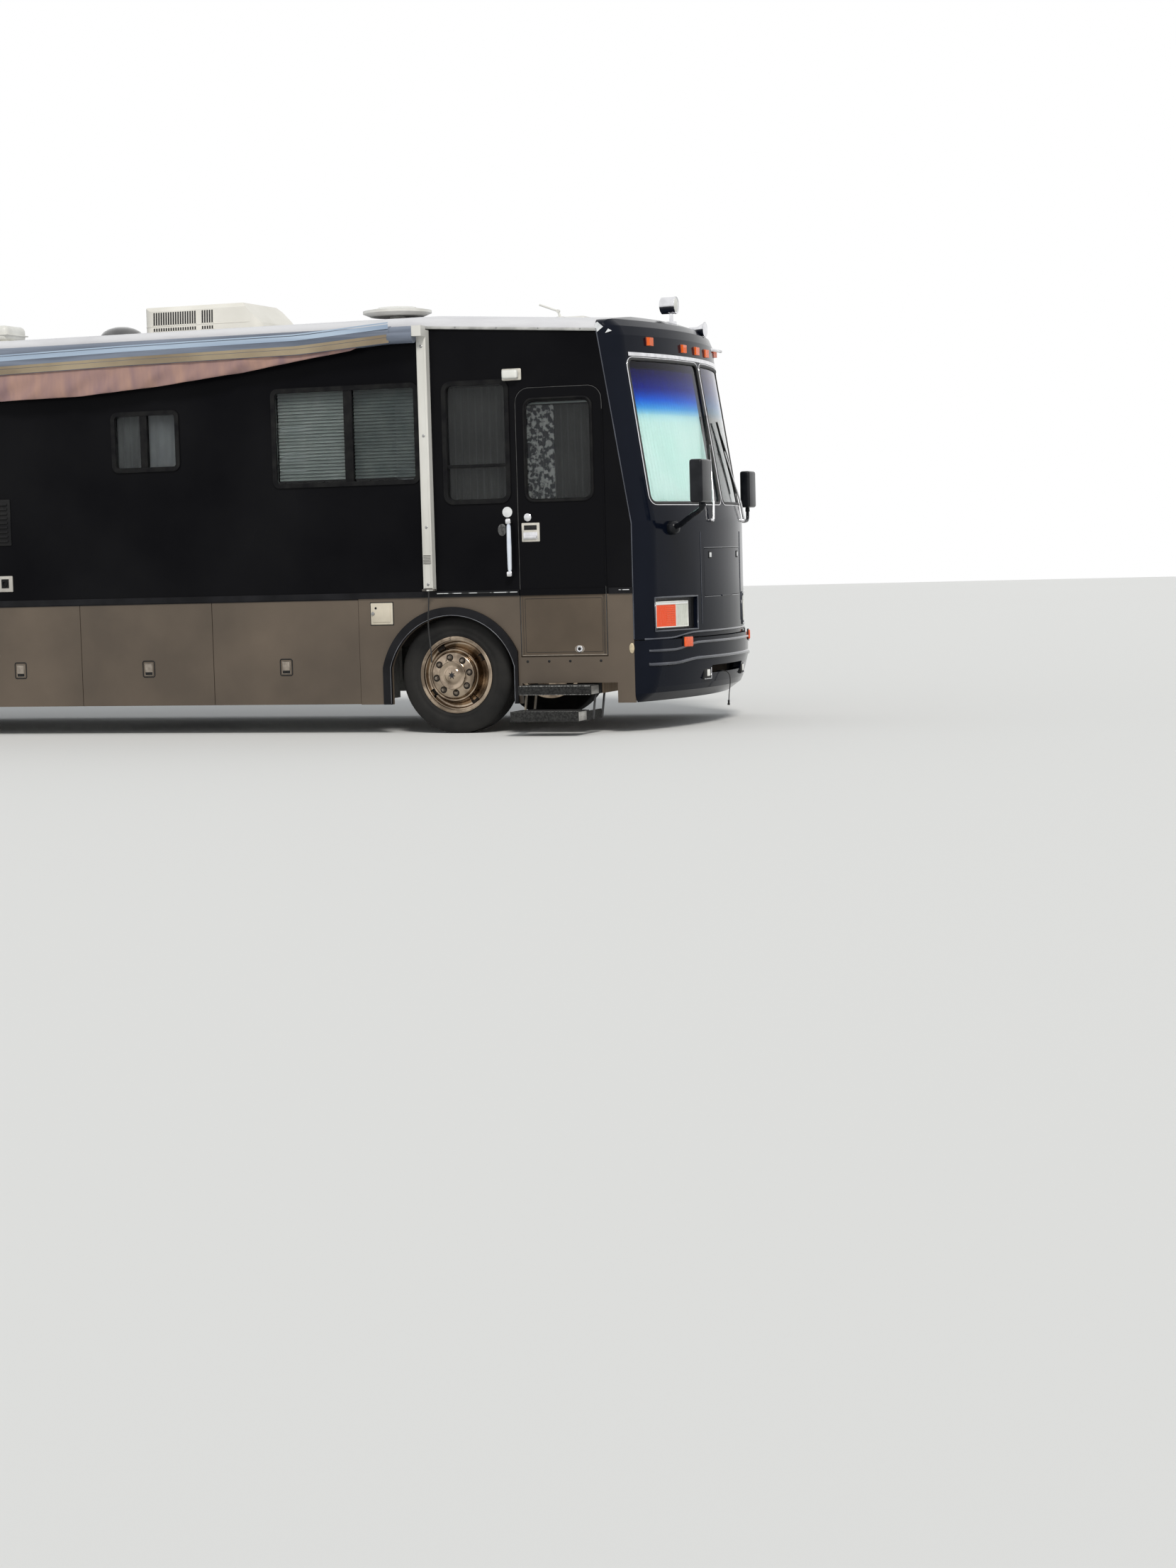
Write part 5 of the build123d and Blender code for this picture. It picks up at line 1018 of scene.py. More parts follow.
# The mirrors are black moulded heads on bent black tubes, a flat glass over a small round-cornered
# wide-angle one in each. The right one stands ahead of the corner, the left one beside the pillar.
mirror_black = finish(
    "mirror_black", ((0.005, 0.006, 0.008), (0.013, 0.014, 0.017)), 0.25, scale=9.0, gloss=0.2,
)
mirror_glass = finish("mirror_glass", ((0.80, 0.84, 0.86), (0.70, 0.75, 0.78)), 0.03, scale=4.0, metallic=1.0,
                      rough_spread=0.01)
mirror_parts, mirror_glasses = [], []
for x0, x1, y0, y1, z0, z1 in (
    (5.500, 5.600, -1.440, -1.180, 1.722, 2.040), (5.037, 5.122, 1.405, 1.605, 1.715, 2.018),
):
    mirror_parts.append(block((x0, y0, z0), (x1, y1, z1), 0.020, 4))
    for low, high in ((z0 + 0.096, z1 - 0.024), (z0 + 0.024, z0 + 0.084)):
        mirror_glasses.append(block((x0 - 0.002, y0 + 0.022, low), (x0 + 0.004, y1 - 0.022, high), 0.002))
mirror_parts += [
    spun([
        (-0.020, 0.050), (0.020, 0.054), (0.052, 0.052), (0.076, 0.040), (0.084, 0.022), (0.085, 0.0),
    ], (5.172, -0.938, 1.541), (1, -0.18, 0.08), 36),
    tube_along([
        (5.215, -0.950, 1.545), (5.300, -1.030, 1.568), (5.420, -1.145, 1.628), (5.510, -1.226, 1.666),
        (5.536, -1.248, 1.684), (5.540, -1.250, 1.705), (5.540, -1.250, 1.730),
    ], 0.021, rounds=5),
    bar((5.540, -1.250, 1.690), (5.540, -1.250, 1.726), 0.028, 0.025, 28, 0.004),
    bar((5.072, 1.216, 1.600), (5.072, 1.234, 1.600), 0.034, 0.030, 28, 0.004),
    tube_along([
        (5.072, 1.225, 1.600), (5.072, 1.420, 1.600), (5.072, 1.478, 1.606), (5.072, 1.500, 1.626),
        (5.072, 1.505, 1.650), (5.072, 1.505, 1.722),
    ], 0.014, rounds=4),
    bar((5.072, 1.505, 1.680), (5.072, 1.505, 1.718), 0.019, 0.017, 24, 0.004),
]
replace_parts(fitted("mirror_heads", mirror_parts, mirror_black), "mirrors")
fitted("mirror_glasses", mirror_glasses, mirror_glass)

# Tyres are black rubber with ribbed treads and a rim guard ring on the side wall. The front
# wheels carry one each and the rear wheels two, side by side.
rubber = finish(
    "tyre_rubber", ((0.008, 0.008, 0.008), (0.020, 0.019, 0.018)), 0.78, scale=4.0, bump=0.2, bump_scale=80.0,
    gloss=0.25,
)
half_section = [
    (0.000, 0.4430), (0.0030, 0.4430), (0.0045, 0.4550), (0.0330, 0.4550), (0.0345, 0.4430), (0.0405, 0.4430),
    (0.0420, 0.4550), (0.0660, 0.4550), (0.0675, 0.4430), (0.0735, 0.4430), (0.0750, 0.4550),
    (0.0930, 0.4545), (0.1020, 0.4490), (0.1095, 0.4385), (0.1150, 0.4290), (0.1188, 0.4160),
    (0.1222, 0.3980), (0.1246, 0.3800), (0.1250, 0.3740), (0.1236, 0.3600), (0.1216, 0.3520),
    (0.1204, 0.3500), (0.1178, 0.3400), (0.1155, 0.3270), (0.1164, 0.3250), (0.1150, 0.3180),
    (0.1100, 0.3060), (0.1090, 0.3000), (0.0970, 0.2870),
]
whole_section = [(-along, radius) for along, radius in reversed(half_section)] + half_section[1:]
whole_section.append(whole_section[0])
for side, out in (("right", -1), ("left", 1)):
    front = spun(whole_section, (front_axle_x, out * 1.040, axle_z), (0, 1, 0), 96)
    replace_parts(fitted(f"front_tread_{side}", front, rubber, f"front_wheel_{side}"), f"front_tyre_{side}")
    pair = [spun(whole_section, (rear_axle_x, out * y, axle_z), (0, 1, 0), 96) for y in (1.010, 0.690)]
    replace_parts(fitted(f"rear_treads_{side}", pair, rubber, f"rear_wheels_{side}"), f"rear_tyres_{side}")

# The wheels are polished aluminium discs with four hand holes, eight nuts and a hub cap with a
# star at its centre. A pressed cover stands out over each front disc; the rear discs lie deep.
# The discs' bronze tone is a painted reflection of the ground in the polished metal.
wheel_ground_reflection = finish(
    "wheel_ground_reflection", ((0.46, 0.37, 0.28), (0.20, 0.155, 0.115)), 0.14, scale=7.0, metallic=1.0, bump=0.04,
    bump_scale=40.0, spread=(0.42, 0.58),
)
# The front discs' hand holes hold dark plugs, and every nut sits on a thin dark disc: painted shade of the
# hollows there.
hollow_painted_shade = finish(
    "hollow_painted_shade", ((0.010, 0.008, 0.007), (0.022, 0.018, 0.015)), 0.7, scale=30.0, gloss=0.2,
)
alloy = finish(
    "polished_aluminium", ((0.84, 0.84, 0.85), (0.66, 0.66, 0.67)), 0.17, scale=9.0, metallic=1.0, bump=0.04,
    bump_scale=40.0,
)
star_dark = finish("star_dark", ((0.010, 0.010, 0.012), (0.030, 0.030, 0.032)), 0.4, scale=30.0, gloss=0.3)
# The nut covers' dark bronze is a painted reflection of the ground.
nut_ground_reflection = finish(
    "nut_ground_reflection", ((0.26, 0.22, 0.18), (0.12, 0.10, 0.08)), 0.18, scale=60.0, metallic=1.0, spread=(0.4, 0.6),
)


def star(centre, out, points, tall, deep, thickness):
    """A flat star on a wheel's middle."""
    x, y, z = centre
    corners = []
    for k in range(2 * points):
        a = math.pi * k / points
        r = tall if k % 2 == 0 else deep
        corners.append((x + r * math.sin(a), y, z + r * math.cos(a)))
    return traced(corners, (0, out * thickness, 0))


# Each nut's well is a thin dark disc, painted shade round the nut.
well = [(-0.001, 0.0275), (0.0015, 0.0270), (0.0005, 0.0240), (0.0005, 0.0)]
nut = [(0.0, 0.0185), (0.003, 0.0185), (0.004, 0.0165), (0.014, 0.0160), (0.018, 0.0120), (0.019, 0.0)]
for side, out in (("right", -1), ("left", 1)):
    for axle, axle_x, face_y, lip_y in (
        ("front", front_axle_x, 1.106, 1.156), ("rear", rear_axle_x, 0.866, 1.126),
    ):
        front_wheel = axle == "front"
        body = f"front_wheel_{side}" if front_wheel else f"rear_wheels_{side}"
        dress(f"front_rim_{side}" if front_wheel else f"rear_rims_{side}", wheel_ground_reflection)
        outwards = (0, out, 0)
        centre = (axle_x, out * face_y, axle_z)
        lip = lip_y - face_y
        shine = [spun([
            (0.0, 0.2740), (lip - 0.012, 0.2745), (lip - 0.001, 0.2800), (lip + 0.002, 0.2900),
            (lip - 0.001, 0.2985), (lip - 0.008, 0.3000), (lip - 0.009, 0.2990),
        ], centre, outwards, 72)]
        if front_wheel:
            shine.append(spun([
                (0.026, 0.2735), (0.031, 0.2700), (0.029, 0.2640), (0.018, 0.2600), (0.006, 0.2520),
                (0.004, 0.2400), (0.012, 0.2280), (0.030, 0.2140), (0.060, 0.2055), (0.084, 0.2030),
                (0.0895, 0.2000), (0.0905, 0.1940), (0.0880, 0.1870), (0.0840, 0.1840), (0.0900, 0.1815),
                (0.1080, 0.1765), (0.1140, 0.1730), (0.1165, 0.1670), (0.1165, 0.1080),
            ], centre, outwards, 96))
        else:
            shine.append(spun([
                (-0.001, 0.2450), (0.003, 0.2520), (0.010, 0.2620), (0.026, 0.2715), (0.030, 0.2735),
            ], centre, outwards, 72))
        holes, nuts, nut_pocket_shades = [], [], []
        for k in range(4):
            a = math.radians(34 + 90 * k)
            ring = 0.239 if front_wheel else 0.205
            hole = (axle_x + ring * math.cos(a), out * face_y, axle_z + ring * math.sin(a))
            if front_wheel:
                holes.append(spun([
                    (0.010, 0.0290), (0.0190, 0.0280), (0.0190, 0.0255), (0.0080, 0.0240), (0.0070, 0.0),
                ], hole, outwards, 32))
            else:
                shine.append(spun([
                    (-0.010, 0.0345), (0.000, 0.0350), (0.003, 0.0375), (0.001, 0.0410), (-0.001, 0.0420),
                ], hole, outwards, 28))
        base = 0.1165 if front_wheel else 0.0
        for k in range(8):
            a = math.radians((9 if front_wheel else 22.5) + 45 * k)
            nut_at = (axle_x + 0.1385 * math.cos(a), out * (face_y + base), axle_z + 0.1385 * math.sin(a))
            nut_pocket_shades.append(spun(well, nut_at, outwards, 28))
            nuts.append(spun(nut, nut_at, outwards, 6, 20))
        fitted(f"{axle}_rim_lip_{side}", shine, wheel_ground_reflection, body)
        fitted(f"{axle}_nuts_{side}", nuts, nut_ground_reflection, body)
        fitted(f"{axle}_wheel_hollow_shades_{side}", holes + nut_pocket_shades, hollow_painted_shade, body)
        if front_wheel:
            cap = spun([
                (0.1155, 0.1140), (0.1200, 0.1130), (0.1220, 0.1095), (0.1350, 0.1085), (0.1385, 0.1050),
                (0.1385, 0.0990), (0.1345, 0.0920), (0.1315, 0.0800), (0.1310, 0.0640), (0.1335, 0.0600),
                (0.1385, 0.0555), (0.1405, 0.0480), (0.1410, 0.0),
            ], centre, outwards, 64)
            end = 0.1325
        else:
            end = 0.114
            cap = spun([
                (0.0, 0.112), (0.006, 0.110), (0.010, 0.1065), (end - 0.014, 0.1062), (end - 0.004, 0.100),
                (end + 0.002, 0.088), (end + 0.004, 0.070), (end + 0.002, 0.060), (end + 0.004, 0.050),
                (end + 0.010, 0.030), (end + 0.011, 0.0),
            ], centre, outwards, 56)
        fitted(f"{axle}_hub_cap_{side}", cap, wheel_ground_reflection, body)
        mark = (axle_x, out * (face_y + end + 0.0085), axle_z)
        fitted(f"{axle}_hub_star_{side}", star(mark, out, 7, 0.031, 0.014, 0.004), star_dark, body)

# The entry step is pressed steel in black grit paint with bright worn edges and aluminium end
# plates. Two pairs of links carry the lower tread, tan at its rear end and dark at its front end.
grit = finish(
    "step_grit", ((0.010, 0.010, 0.010), (0.038, 0.038, 0.037)), 0.88, scale=70.0, bump=0.9, bump_scale=260.0,
    gloss=0.3,
)
for node in ("upper_step", "lower_step"):
    dress(node, grit)
edge_bright = finish(
    "edge_bright", ((0.30, 0.30, 0.29), (0.05, 0.05, 0.05)), 0.6, scale=40.0, stretch=(2, 1, 1),
    spread=(0.4, 0.6),
)
step_alloy = finish(
    "step_alloy", ((0.56, 0.55, 0.52), (0.38, 0.37, 0.35)), 0.38, scale=12.0, metallic=0.8, bump=0.1,
)
for name, x0, x1, y, z, depth, near, far, bolt_rise in (
    ("upper_step", 4.084, 4.653, -1.365, 0.372, 0.070, 0.0085, 0.01018, 0.00012),
    ("lower_step", 4.0955, 4.6415, -1.603, 0.190, 0.075, 0.0005, 0.0035, 0.005),
):
    nosing = [
        block((x0, y - 0.0012, z - 0.006), (x1, y + 0.010, z + 0.0012), 0.0008),
        block((x0, y - 0.0012, z - depth), (x1, y + 0.003, z - depth + 0.004), 0.0008),
    ]
    fitted(f"{name}_nosing", nosing, edge_bright, name)
    ribs = [
        block(
            (x0 + 0.014, y + 0.030 + 0.034 * k, z - 0.001), (x1 - 0.014, y + 0.046 + 0.034 * k, z + 0.0025),
            0.001,
        )
        for k in range(6)
    ]
    fitted(f"{name}_grip_strips", ribs, grit, name)
    ends = []
    for x, turn in ((x0, -1), (x1, 1)):
        near_x, far_x = x + turn * near, x + turn * far
        ends.append(block((near_x, y + 0.004, z - depth + 0.003), (far_x, y + 0.170, z - 0.003), 0.001))
        for bolt_y in (y + 0.045, y + 0.125):
            ends.append(bar(
                (far_x - turn * 0.001, bolt_y, z - 0.034), (far_x + turn * bolt_rise, bolt_y, z - 0.034),
                0.008, 0.006, 6,
            ))
    fitted(f"{name}_end_plates", ends, step_alloy, name)
link_paint = finish("link_paint", ((0.34, 0.28, 0.21), (0.25, 0.21, 0.16)), 0.45, scale=18.0)
painted_beyond(link_paint, "X", 4.370, (0.03, 0.03, 0.032))
for order, upper_y in (("outer", -1.222), ("inner", -1.016)):
    dress(f"step_links_{order}", link_paint)
    low_y = upper_y - 0.068
    pins = []
    for x, turn in ((4.0845, -1), (4.6525, 1)):
        pins.append(bar((x + turn * 0.0080, upper_y, 0.322), (x + turn * 0.0098, upper_y, 0.322),
                        0.011, 0.0095, 20, 0.0004))
        pins.append(bar(
            (x - turn * 0.0110, low_y, 0.123), (x - turn * 0.0205, low_y, 0.123), 0.0055, 0.0055, 16,
        ))
    fitted(f"step_pins_{order}", pins, step_alloy, f"step_links_{order}")

# The awning rolls into a silvery case with beige lower bands, between two off-white channel arms
# fixed to the wall. Its cloth has come slack and hangs in a long pinkish beige bag.
roller_silver = finish(
    "roller_silver", ((0.20, 0.23, 0.29), (0.11, 0.13, 0.17)), 0.35, scale=2.5, stretch=(0.4, 3, 8),
    gloss=0.3,
)
dress("awning_roller", roller_silver)
band_beige = finish(
    "band_beige", ((0.36, 0.29, 0.19), (0.22, 0.17, 0.11)), 0.4, scale=3.0, stretch=(0.5, 1, 1),
)
case_line = ((-2.395, 2.930), (-0.326, 2.924), (0.814, 2.946), (2.325, 2.959), (3.093, 3.011))


def line_height(x, line):
    """Height of a bent line at a place along the coach."""
    for (x0, z0), (x1, z1) in zip(line, line[1:]):
        if x <= x1:
            return z0 + (z1 - z0) * (x - x0) / (x1 - x0)
    return line[-1][1]


# Pale blue bands along the case's upper face are a painted reflection of the sky.
case_sky_reflection = finish(
    "case_sky_reflection", ((0.44, 0.54, 0.66), (0.30, 0.38, 0.50)), 0.3, scale=2.0, stretch=(0.5, 3, 9), gloss=0.3,
)
bands, sky_reflection_bands = [], []
for low, tall, proud, pile in (
    (0.003, 0.040, 0.0015, bands), (0.046, 0.022, 0.0015, bands), (0.110, 0.034, 0.0012, sky_reflection_bands),
    (0.150, 0.010, 0.0020, sky_reflection_bands),
):
    route = []
    for k in range(56):
        x = -2.395 + 5.488 * k / 55
        z = line_height(x, case_line) + low
        route.append((x, -1.372 - 0.007 * (z - 2.915) / 0.180 - proud / 2, z))
    pile.append(strip_along(route, (0, -0.007 * tall / 0.180, tall), proud))
fitted("roller_bands", bands, band_beige)
fitted("roller_upper_bands", sky_reflection_bands, case_sky_reflection)
arm_white = finish(
    "arm_white", ((0.72, 0.71, 0.67), (0.58, 0.57, 0.53)), 0.4, scale=3.0, stretch=(1, 1, 0.4), bump=0.04,
)
dress("awning_arms", arm_white)
clip_dark = finish("clip_dark", ((0.10, 0.09, 0.08), (0.05, 0.045, 0.04)), 0.5, scale=30.0)
arm_lines, arm_bolts, clips, clip_ridges, arm_feet = [], [], [], [], []
for x in (3.322, -2.476):
    for shift in (-0.026, 0.026):
        arm_lines.append(block(
            (x + shift - 0.005, -1.2885, 1.130), (x + shift + 0.005, -1.2840, 3.040), 0.002,
        ))
    for z in (1.160, 1.60, 2.30, 2.98):
        arm_bolts.append(spun([
            (0, 0.011), (0.004, 0.011), (0.007, 0.006), (0.007, 0),
        ], (x, -1.2845, z), wall_out, 16))
    clips.append(block((x - 0.033, -1.2925, 1.318), (x + 0.033, -1.2850, 1.392), 0.003))
    for k in range(6):
        z = 1.323 + 0.0115 * k
        clip_ridges.append(block((x - 0.031, -1.2955, z), (x + 0.031, -1.2915, z + 0.005), 0.001))
    for low, high, wide in ((1.108, 1.124, 0.052), (1.124, 1.132, 0.036)):
        arm_feet.append(block((x - wide, -1.290, low), (x + wide, -1.250, high), 0.003))
fitted("awning_arm_edges", arm_lines, arm_white)
fitted("awning_arm_bolts", arm_bolts, latch_metal)
fitted("awning_arm_clips", clips, arm_white)
fitted("awning_clip_ridges", clip_ridges, clip_dark)
fitted("awning_arm_feet", arm_feet, clip_dark)
bag_cloth = cloth(
    "bag_cloth", ((0.42, 0.255, 0.20), (0.26, 0.165, 0.17)), weave=260.0, sheen=0.08, pattern=4.5,
    spread=(0.34, 0.66),
)
# Its folds hang aslant, so the worn and shaded streaks lean the same way
bag_tree = bag_cloth.node_tree
streaks = add_node(bag_tree, "Mapping", {
    "Vector": bag_tree.nodes["Texture Coordinate"].outputs["Object"],
    "Rotation": (0, math.radians(-42), 0), "Scale": (1.7, 1.0, 0.35),
})
feed(bag_tree.nodes["Noise Texture"], {"Vector": streaks.outputs["Vector"]})
sag = ((-2.380, 2.9297), (-2.300, 2.890), (-1.900, 2.770), (-0.354, 2.716), (0.412, 2.726), (1.161, 2.780),
       (1.824, 2.848), (2.310, 2.914), (2.535, 2.943), (2.752, 2.971), (2.810, 2.9915))
start_piece()
bpy.ops.mesh.primitive_grid_add(x_subdivisions=300, y_subdivisions=44, size=1)
bag = bpy.context.object
for vertex in bag.data.vertices:
    u, v = vertex.co.x + 0.5, vertex.co.y + 0.5
    x = -2.378 + 5.186 * u
    hem = line_height(x, case_line) - 0.0003
    drop = max(0.002, hem - line_height(x, sag))
    turn = math.pi * v
    fullness = min(1.0, drop / 0.09)
    depth = drop * math.sin(turn) ** 0.75
    fold = math.sin(9.5 * x + 26.0 * depth) + 0.7 * math.sin(19.0 * x + 34.0 * depth + 0.8)
    fold += 0.4 * math.sin(37.0 * x + 41.0 * depth) + 0.3 * math.sin(5.0 * x - 22.0 * depth)
    y = -1.339 - 0.020 * math.cos(turn) * (0.45 + 0.55 * fullness)
    y += 0.0095 * fold * fullness * math.sin(turn) ** 0.5
    vertex.co = (x, min(-1.3075, max(-1.3715, y)), hem - depth)
bpy.ops.object.shade_smooth()
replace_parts(fitted("awning_bag", bag, bag_cloth), "awning_fabric")

# The hook at the arm's foot holds a limp black strap, cut off plain at its lower end.
cord_black = cloth("cord_black", ((0.012, 0.012, 0.012), (0.030, 0.030, 0.030)), weave=900.0, sheen=0.1)


def hanging_line(name, route, diameter):
    """A smooth round line through the pull of its route's points."""
    start_piece()
    line_data = bpy.data.curves.new(name, "CURVE")
    line_data.dimensions = "3D"
    line_data.bevel_depth = diameter / 2
    line_data.bevel_resolution = 4
    line_data.resolution_u = 16
    line_data.use_fill_caps = True
    line = line_data.splines.new("NURBS")
    line.points.add(len(route) - 1)
    for point, (x, y, z) in zip(line.points, route):
        point.co = (x, y, z, 1.0)
    line.order_u = 3
    line.use_endpoint_u = True
    piece = bpy.data.objects.new(name, line_data)
    bpy.context.scene.collection.objects.link(piece)
    return piece


strap_route = [
    (3.355, -1.358, 1.1095), (3.353, -1.359, 1.000), (3.341, -1.358, 0.880), (3.349, -1.360, 0.760),
    (3.361, -1.359, 0.650), (3.363, -1.358, 0.560),
]
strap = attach(hanging_line("hanging_strap", strap_route, 0.010), "coach")
strap.data.materials.append(cord_black)
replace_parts(strap, "awning_strap")

# A thin black cable with a moulded connector hangs out of the bumper's slot.
tow_route = [
    (5.2732, -0.110, 0.4193), (5.3432, -0.112, 0.4193), (5.3732, -0.111, 0.3923), (5.3792, -0.109, 0.3443),
    (5.3752, -0.108, 0.2943), (5.3672, -0.110, 0.2393), (5.3632, -0.112, 0.1743),
]
connector = fitted("tow_connector", [
    bar((5.3635, -0.1118, 0.186), (5.3628, -0.1122, 0.158), 0.0085, 0.0075, 20, 0.001),
    bar((5.3628, -0.1122, 0.160), (5.3620, -0.1125, 0.146), 0.0100, 0.0100, 20, 0.001),
], latch_dark)
tow_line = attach(hanging_line("tow_line", tow_route, 0.008), "coach")
tow_line.data.materials.append(cord_black)
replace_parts(tow_line, "tow_cable")

# Two air units with sloping noses stand on the roof under cream plastic shrouds. Each side has
# two groups of upright slots between thin fins, and short slots below the shroud's joint.
shroud_cream = finish("shroud_cream", ((0.78, 0.76, 0.70), (0.66, 0.64, 0.58)), 0.45, scale=2.2, bump=0.08)
dress("roof_air_units", shroud_cream)
inside_dark = finish("inside_dark", ((0.008, 0.008, 0.008), (0.02, 0.02, 0.02)), 0.8, scale=20.0)
slot_backs, slot_fins = [], []
for front_x in (1.530, -2.380):
    for side in (-1, 1):
        y = side * 0.3500
        for x0, count in ((front_x - 1.004, 18), (front_x - 0.558, 5)):
            for z0, z1 in ((3.343, 3.446), (3.292, 3.318)):
                x1 = x0 + count * 0.0222
                slot_backs.append(block((x0, y - 0.001, z0), (x1, y + side * 0.0015, z1), 0.0004))
                for k in range(count + 1):
                    x = x0 + k * 0.0222
                    section = ((-0.0045, 0.0), (-0.003, 0.005), (0.003, 0.005), (0.0045, 0.0))
                    section = [(x + along, y + side * proud, z0 - 0.001) for along, proud in section]
                    slot_fins.append(traced(section, (0.003 * (z1 - z0) / 0.1, 0, z1 - z0 + 0.002)))
    joint = rounded_outline(-0.3505, 0.3505, front_x - 1.1055, front_x - 0.041, 0.100, 0.0, 8)
    slot_fins.append(tube_along([(x, y, 3.333) for y, _, x in joint], 0.003, closed=True))
    for k in range(5):
        x = front_x - 1.02 + 0.17 * k
        slot_fins.append(bar((x, -0.27, 3.484), (x, 0.27, 3.484), 0.004, sides=12))
fitted("air_slot_backs", slot_backs, inside_dark)
fitted("air_slot_fins", slot_fins, shroud_cream)

# Roof fittings are a smoked dome, a white lipped vent cover, a small hatch, a flat white round
# antenna on a foot and a thin bent rod, all screwed down through sealant.
vent_white = finish("vent_white", ((0.76, 0.76, 0.72), (0.62, 0.61, 0.57)), 0.4, scale=5.0, bump=0.1)
dress("roof_antennas", vent_white)
dome_smoke = finish("dome_smoke", ((0.045, 0.045, 0.048), (0.09, 0.09, 0.09)), 0.2, scale=8.0, coat=0.5)


def slab(x, y, half_x, half_y, z0, z1, edge, steps=2):
    """A block round a place in plan."""
    return block((x - half_x, y - half_y, z0), (x + half_x, y + half_y, z1), edge, steps)


vent_parts = [slab(0.225, -0.300, 0.162, 0.162, 3.258, 3.276, 0.005)]
dome = spun([(0.0, 0.176), (0.012, 0.178), (0.020, 0.172), (0.044, 0.150), (0.066, 0.110), (0.080, 0.060),
             (0.085, 0.0)], (0.203, -0.300, 3.268), (0, 0, 1), 56)
for x, y, half_x, half_y, z0, tall in (
    (-0.938, -0.380, 0.190, 0.170, 3.258, 0.150), (4.000, 0.300, 0.150, 0.150, 3.216, 0.060),
):
    lip_z = z0 + tall * 0.42
    vent_parts += [
        slab(x, y, half_x + 0.012, half_y + 0.012, z0 - 0.004, z0 + 0.014, 0.005),
        slab(x, y, half_x - 0.004, half_y - 0.004, z0 + 0.010, z0 + tall - 0.004, min(0.045, tall * 0.42), 5),
        slab(x, y, half_x + 0.004, half_y + 0.004, lip_z, lip_z + 0.010, 0.003),
    ]
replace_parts(fitted("vent_covers", vent_parts, vent_white), "roof_vents")
fitted("smoked_dome", dome, dome_smoke)
antenna_rings = [
    spun([(0.0, 0.2745), (0.020, 0.2752), (0.022, 0.2700)], (2.774, -0.450, 3.3145), (0, 0, 1), 72),
    spun([(0.0, 0.156), (0.004, 0.152), (0.005, 0.140)], (2.774, -0.450, 3.3580), (0, 0, 1), 56),
    spun([(0.0, 0.075), (0.006, 0.072), (0.008, 0.061)], (2.774, -0.450, 3.2680), (0, 0, 1), 40),
]
fitted("antenna_rings", antenna_rings, vent_white)
roof_screws = []
for k in range(30):
    x = -5.2 + 0.338 * k
    roof_screws.append(spun(
        [(0, 0.006), (0.003, 0.005), (0.003, 0)], (x, -1.2365, roof_edge(x) - 0.066), wall_out, 10,
    ))
fitted("drip_rail_screws", roof_screws, latch_metal)

# The tail has a louvred engine door with two latches, a window in a rubber ring, a plain number
# plate holder, a polished exhaust tip and a tubular ladder on welded feet.
engine_slats = []
for k in range(9):
    z = 0.700 + 0.028 * k
    for y0, y1 in ((-0.46, -0.03), (0.03, 0.46)):
        engine_slats.append(traced([
            (-5.4995, y0, z), (-5.5090, y0, z + 0.002), (-5.5095, y0, z + 0.006), (-5.4995, y0, z + 0.019),
        ], (0, y1 - y0, 0)))
fitted("engine_door_louvres", engine_slats, vent_black, "engine_door")
engine_latches = [
    spun([
        (-0.002, 0.022), (0.004, 0.022), (0.006, 0.016), (0.002, 0.013), (0.002, 0),
    ], (-5.499, y, 0.672), (-1, 0, 0), 24)
    for y in (-0.40, 0.40)
]
fitted("engine_door_latches", engine_latches, latch_metal, "engine_door")
rear_line = [(-5.5005, y, z) for y, _, z in rounded_outline(-0.52, 0.52, 1.90, 2.50, 0.06, 0.0)]
fitted("rear_window_ring", tube_along(rear_line, 0.010, closed=True), gasket)
plate_back = block((-5.566, -0.165, 0.452), (-5.5595, 0.165, 0.618), 0.002)
fitted("number_plate_holder", plate_back, latch_dark)
fitted("number_plate", block((-5.5675, -0.152, 0.463), (-5.5655, 0.152, 0.607), 0.0008), disc_white)
tip = spun([
    (0.0, 0.0465), (0.100, 0.0480), (0.108, 0.0485), (0.110, 0.0460), (0.108, 0.0410), (0.010, 0.0400),
    (0.008, 0.0),
], (-5.488, 0.640, 0.520), (-1, 0, 0), 40)
fitted("exhaust_tip", tip, chrome)
fitted("exhaust_bore", spun([(0, 0.0395), (0.002, 0.0)], (-5.591, 0.640, 0.520), (-1, 0, 0), 32), inside_dark)
dress("rear_ladder", alloy)
ladder_feet, rung_grips = [], []
for y in (-1.000, -0.640):
    for z in (1.480, 3.100):
        ladder_feet.append(spun([
            (0.0, 0.030), (0.004, 0.030), (0.007, 0.018), (0.014, 0.014),
        ], (-5.500, y, z), (-1, 0, 0), 28))
for k in range(6):
    z = 1.600 + 0.280 * k
    rung_grips.append(block((-5.586, -0.975, z + 0.0095), (-5.564, -0.665, z + 0.0135), 0.0015))
fitted("ladder_feet", ladder_feet, alloy)
fitted("ladder_rung_grips", rung_grips, latch_dark)

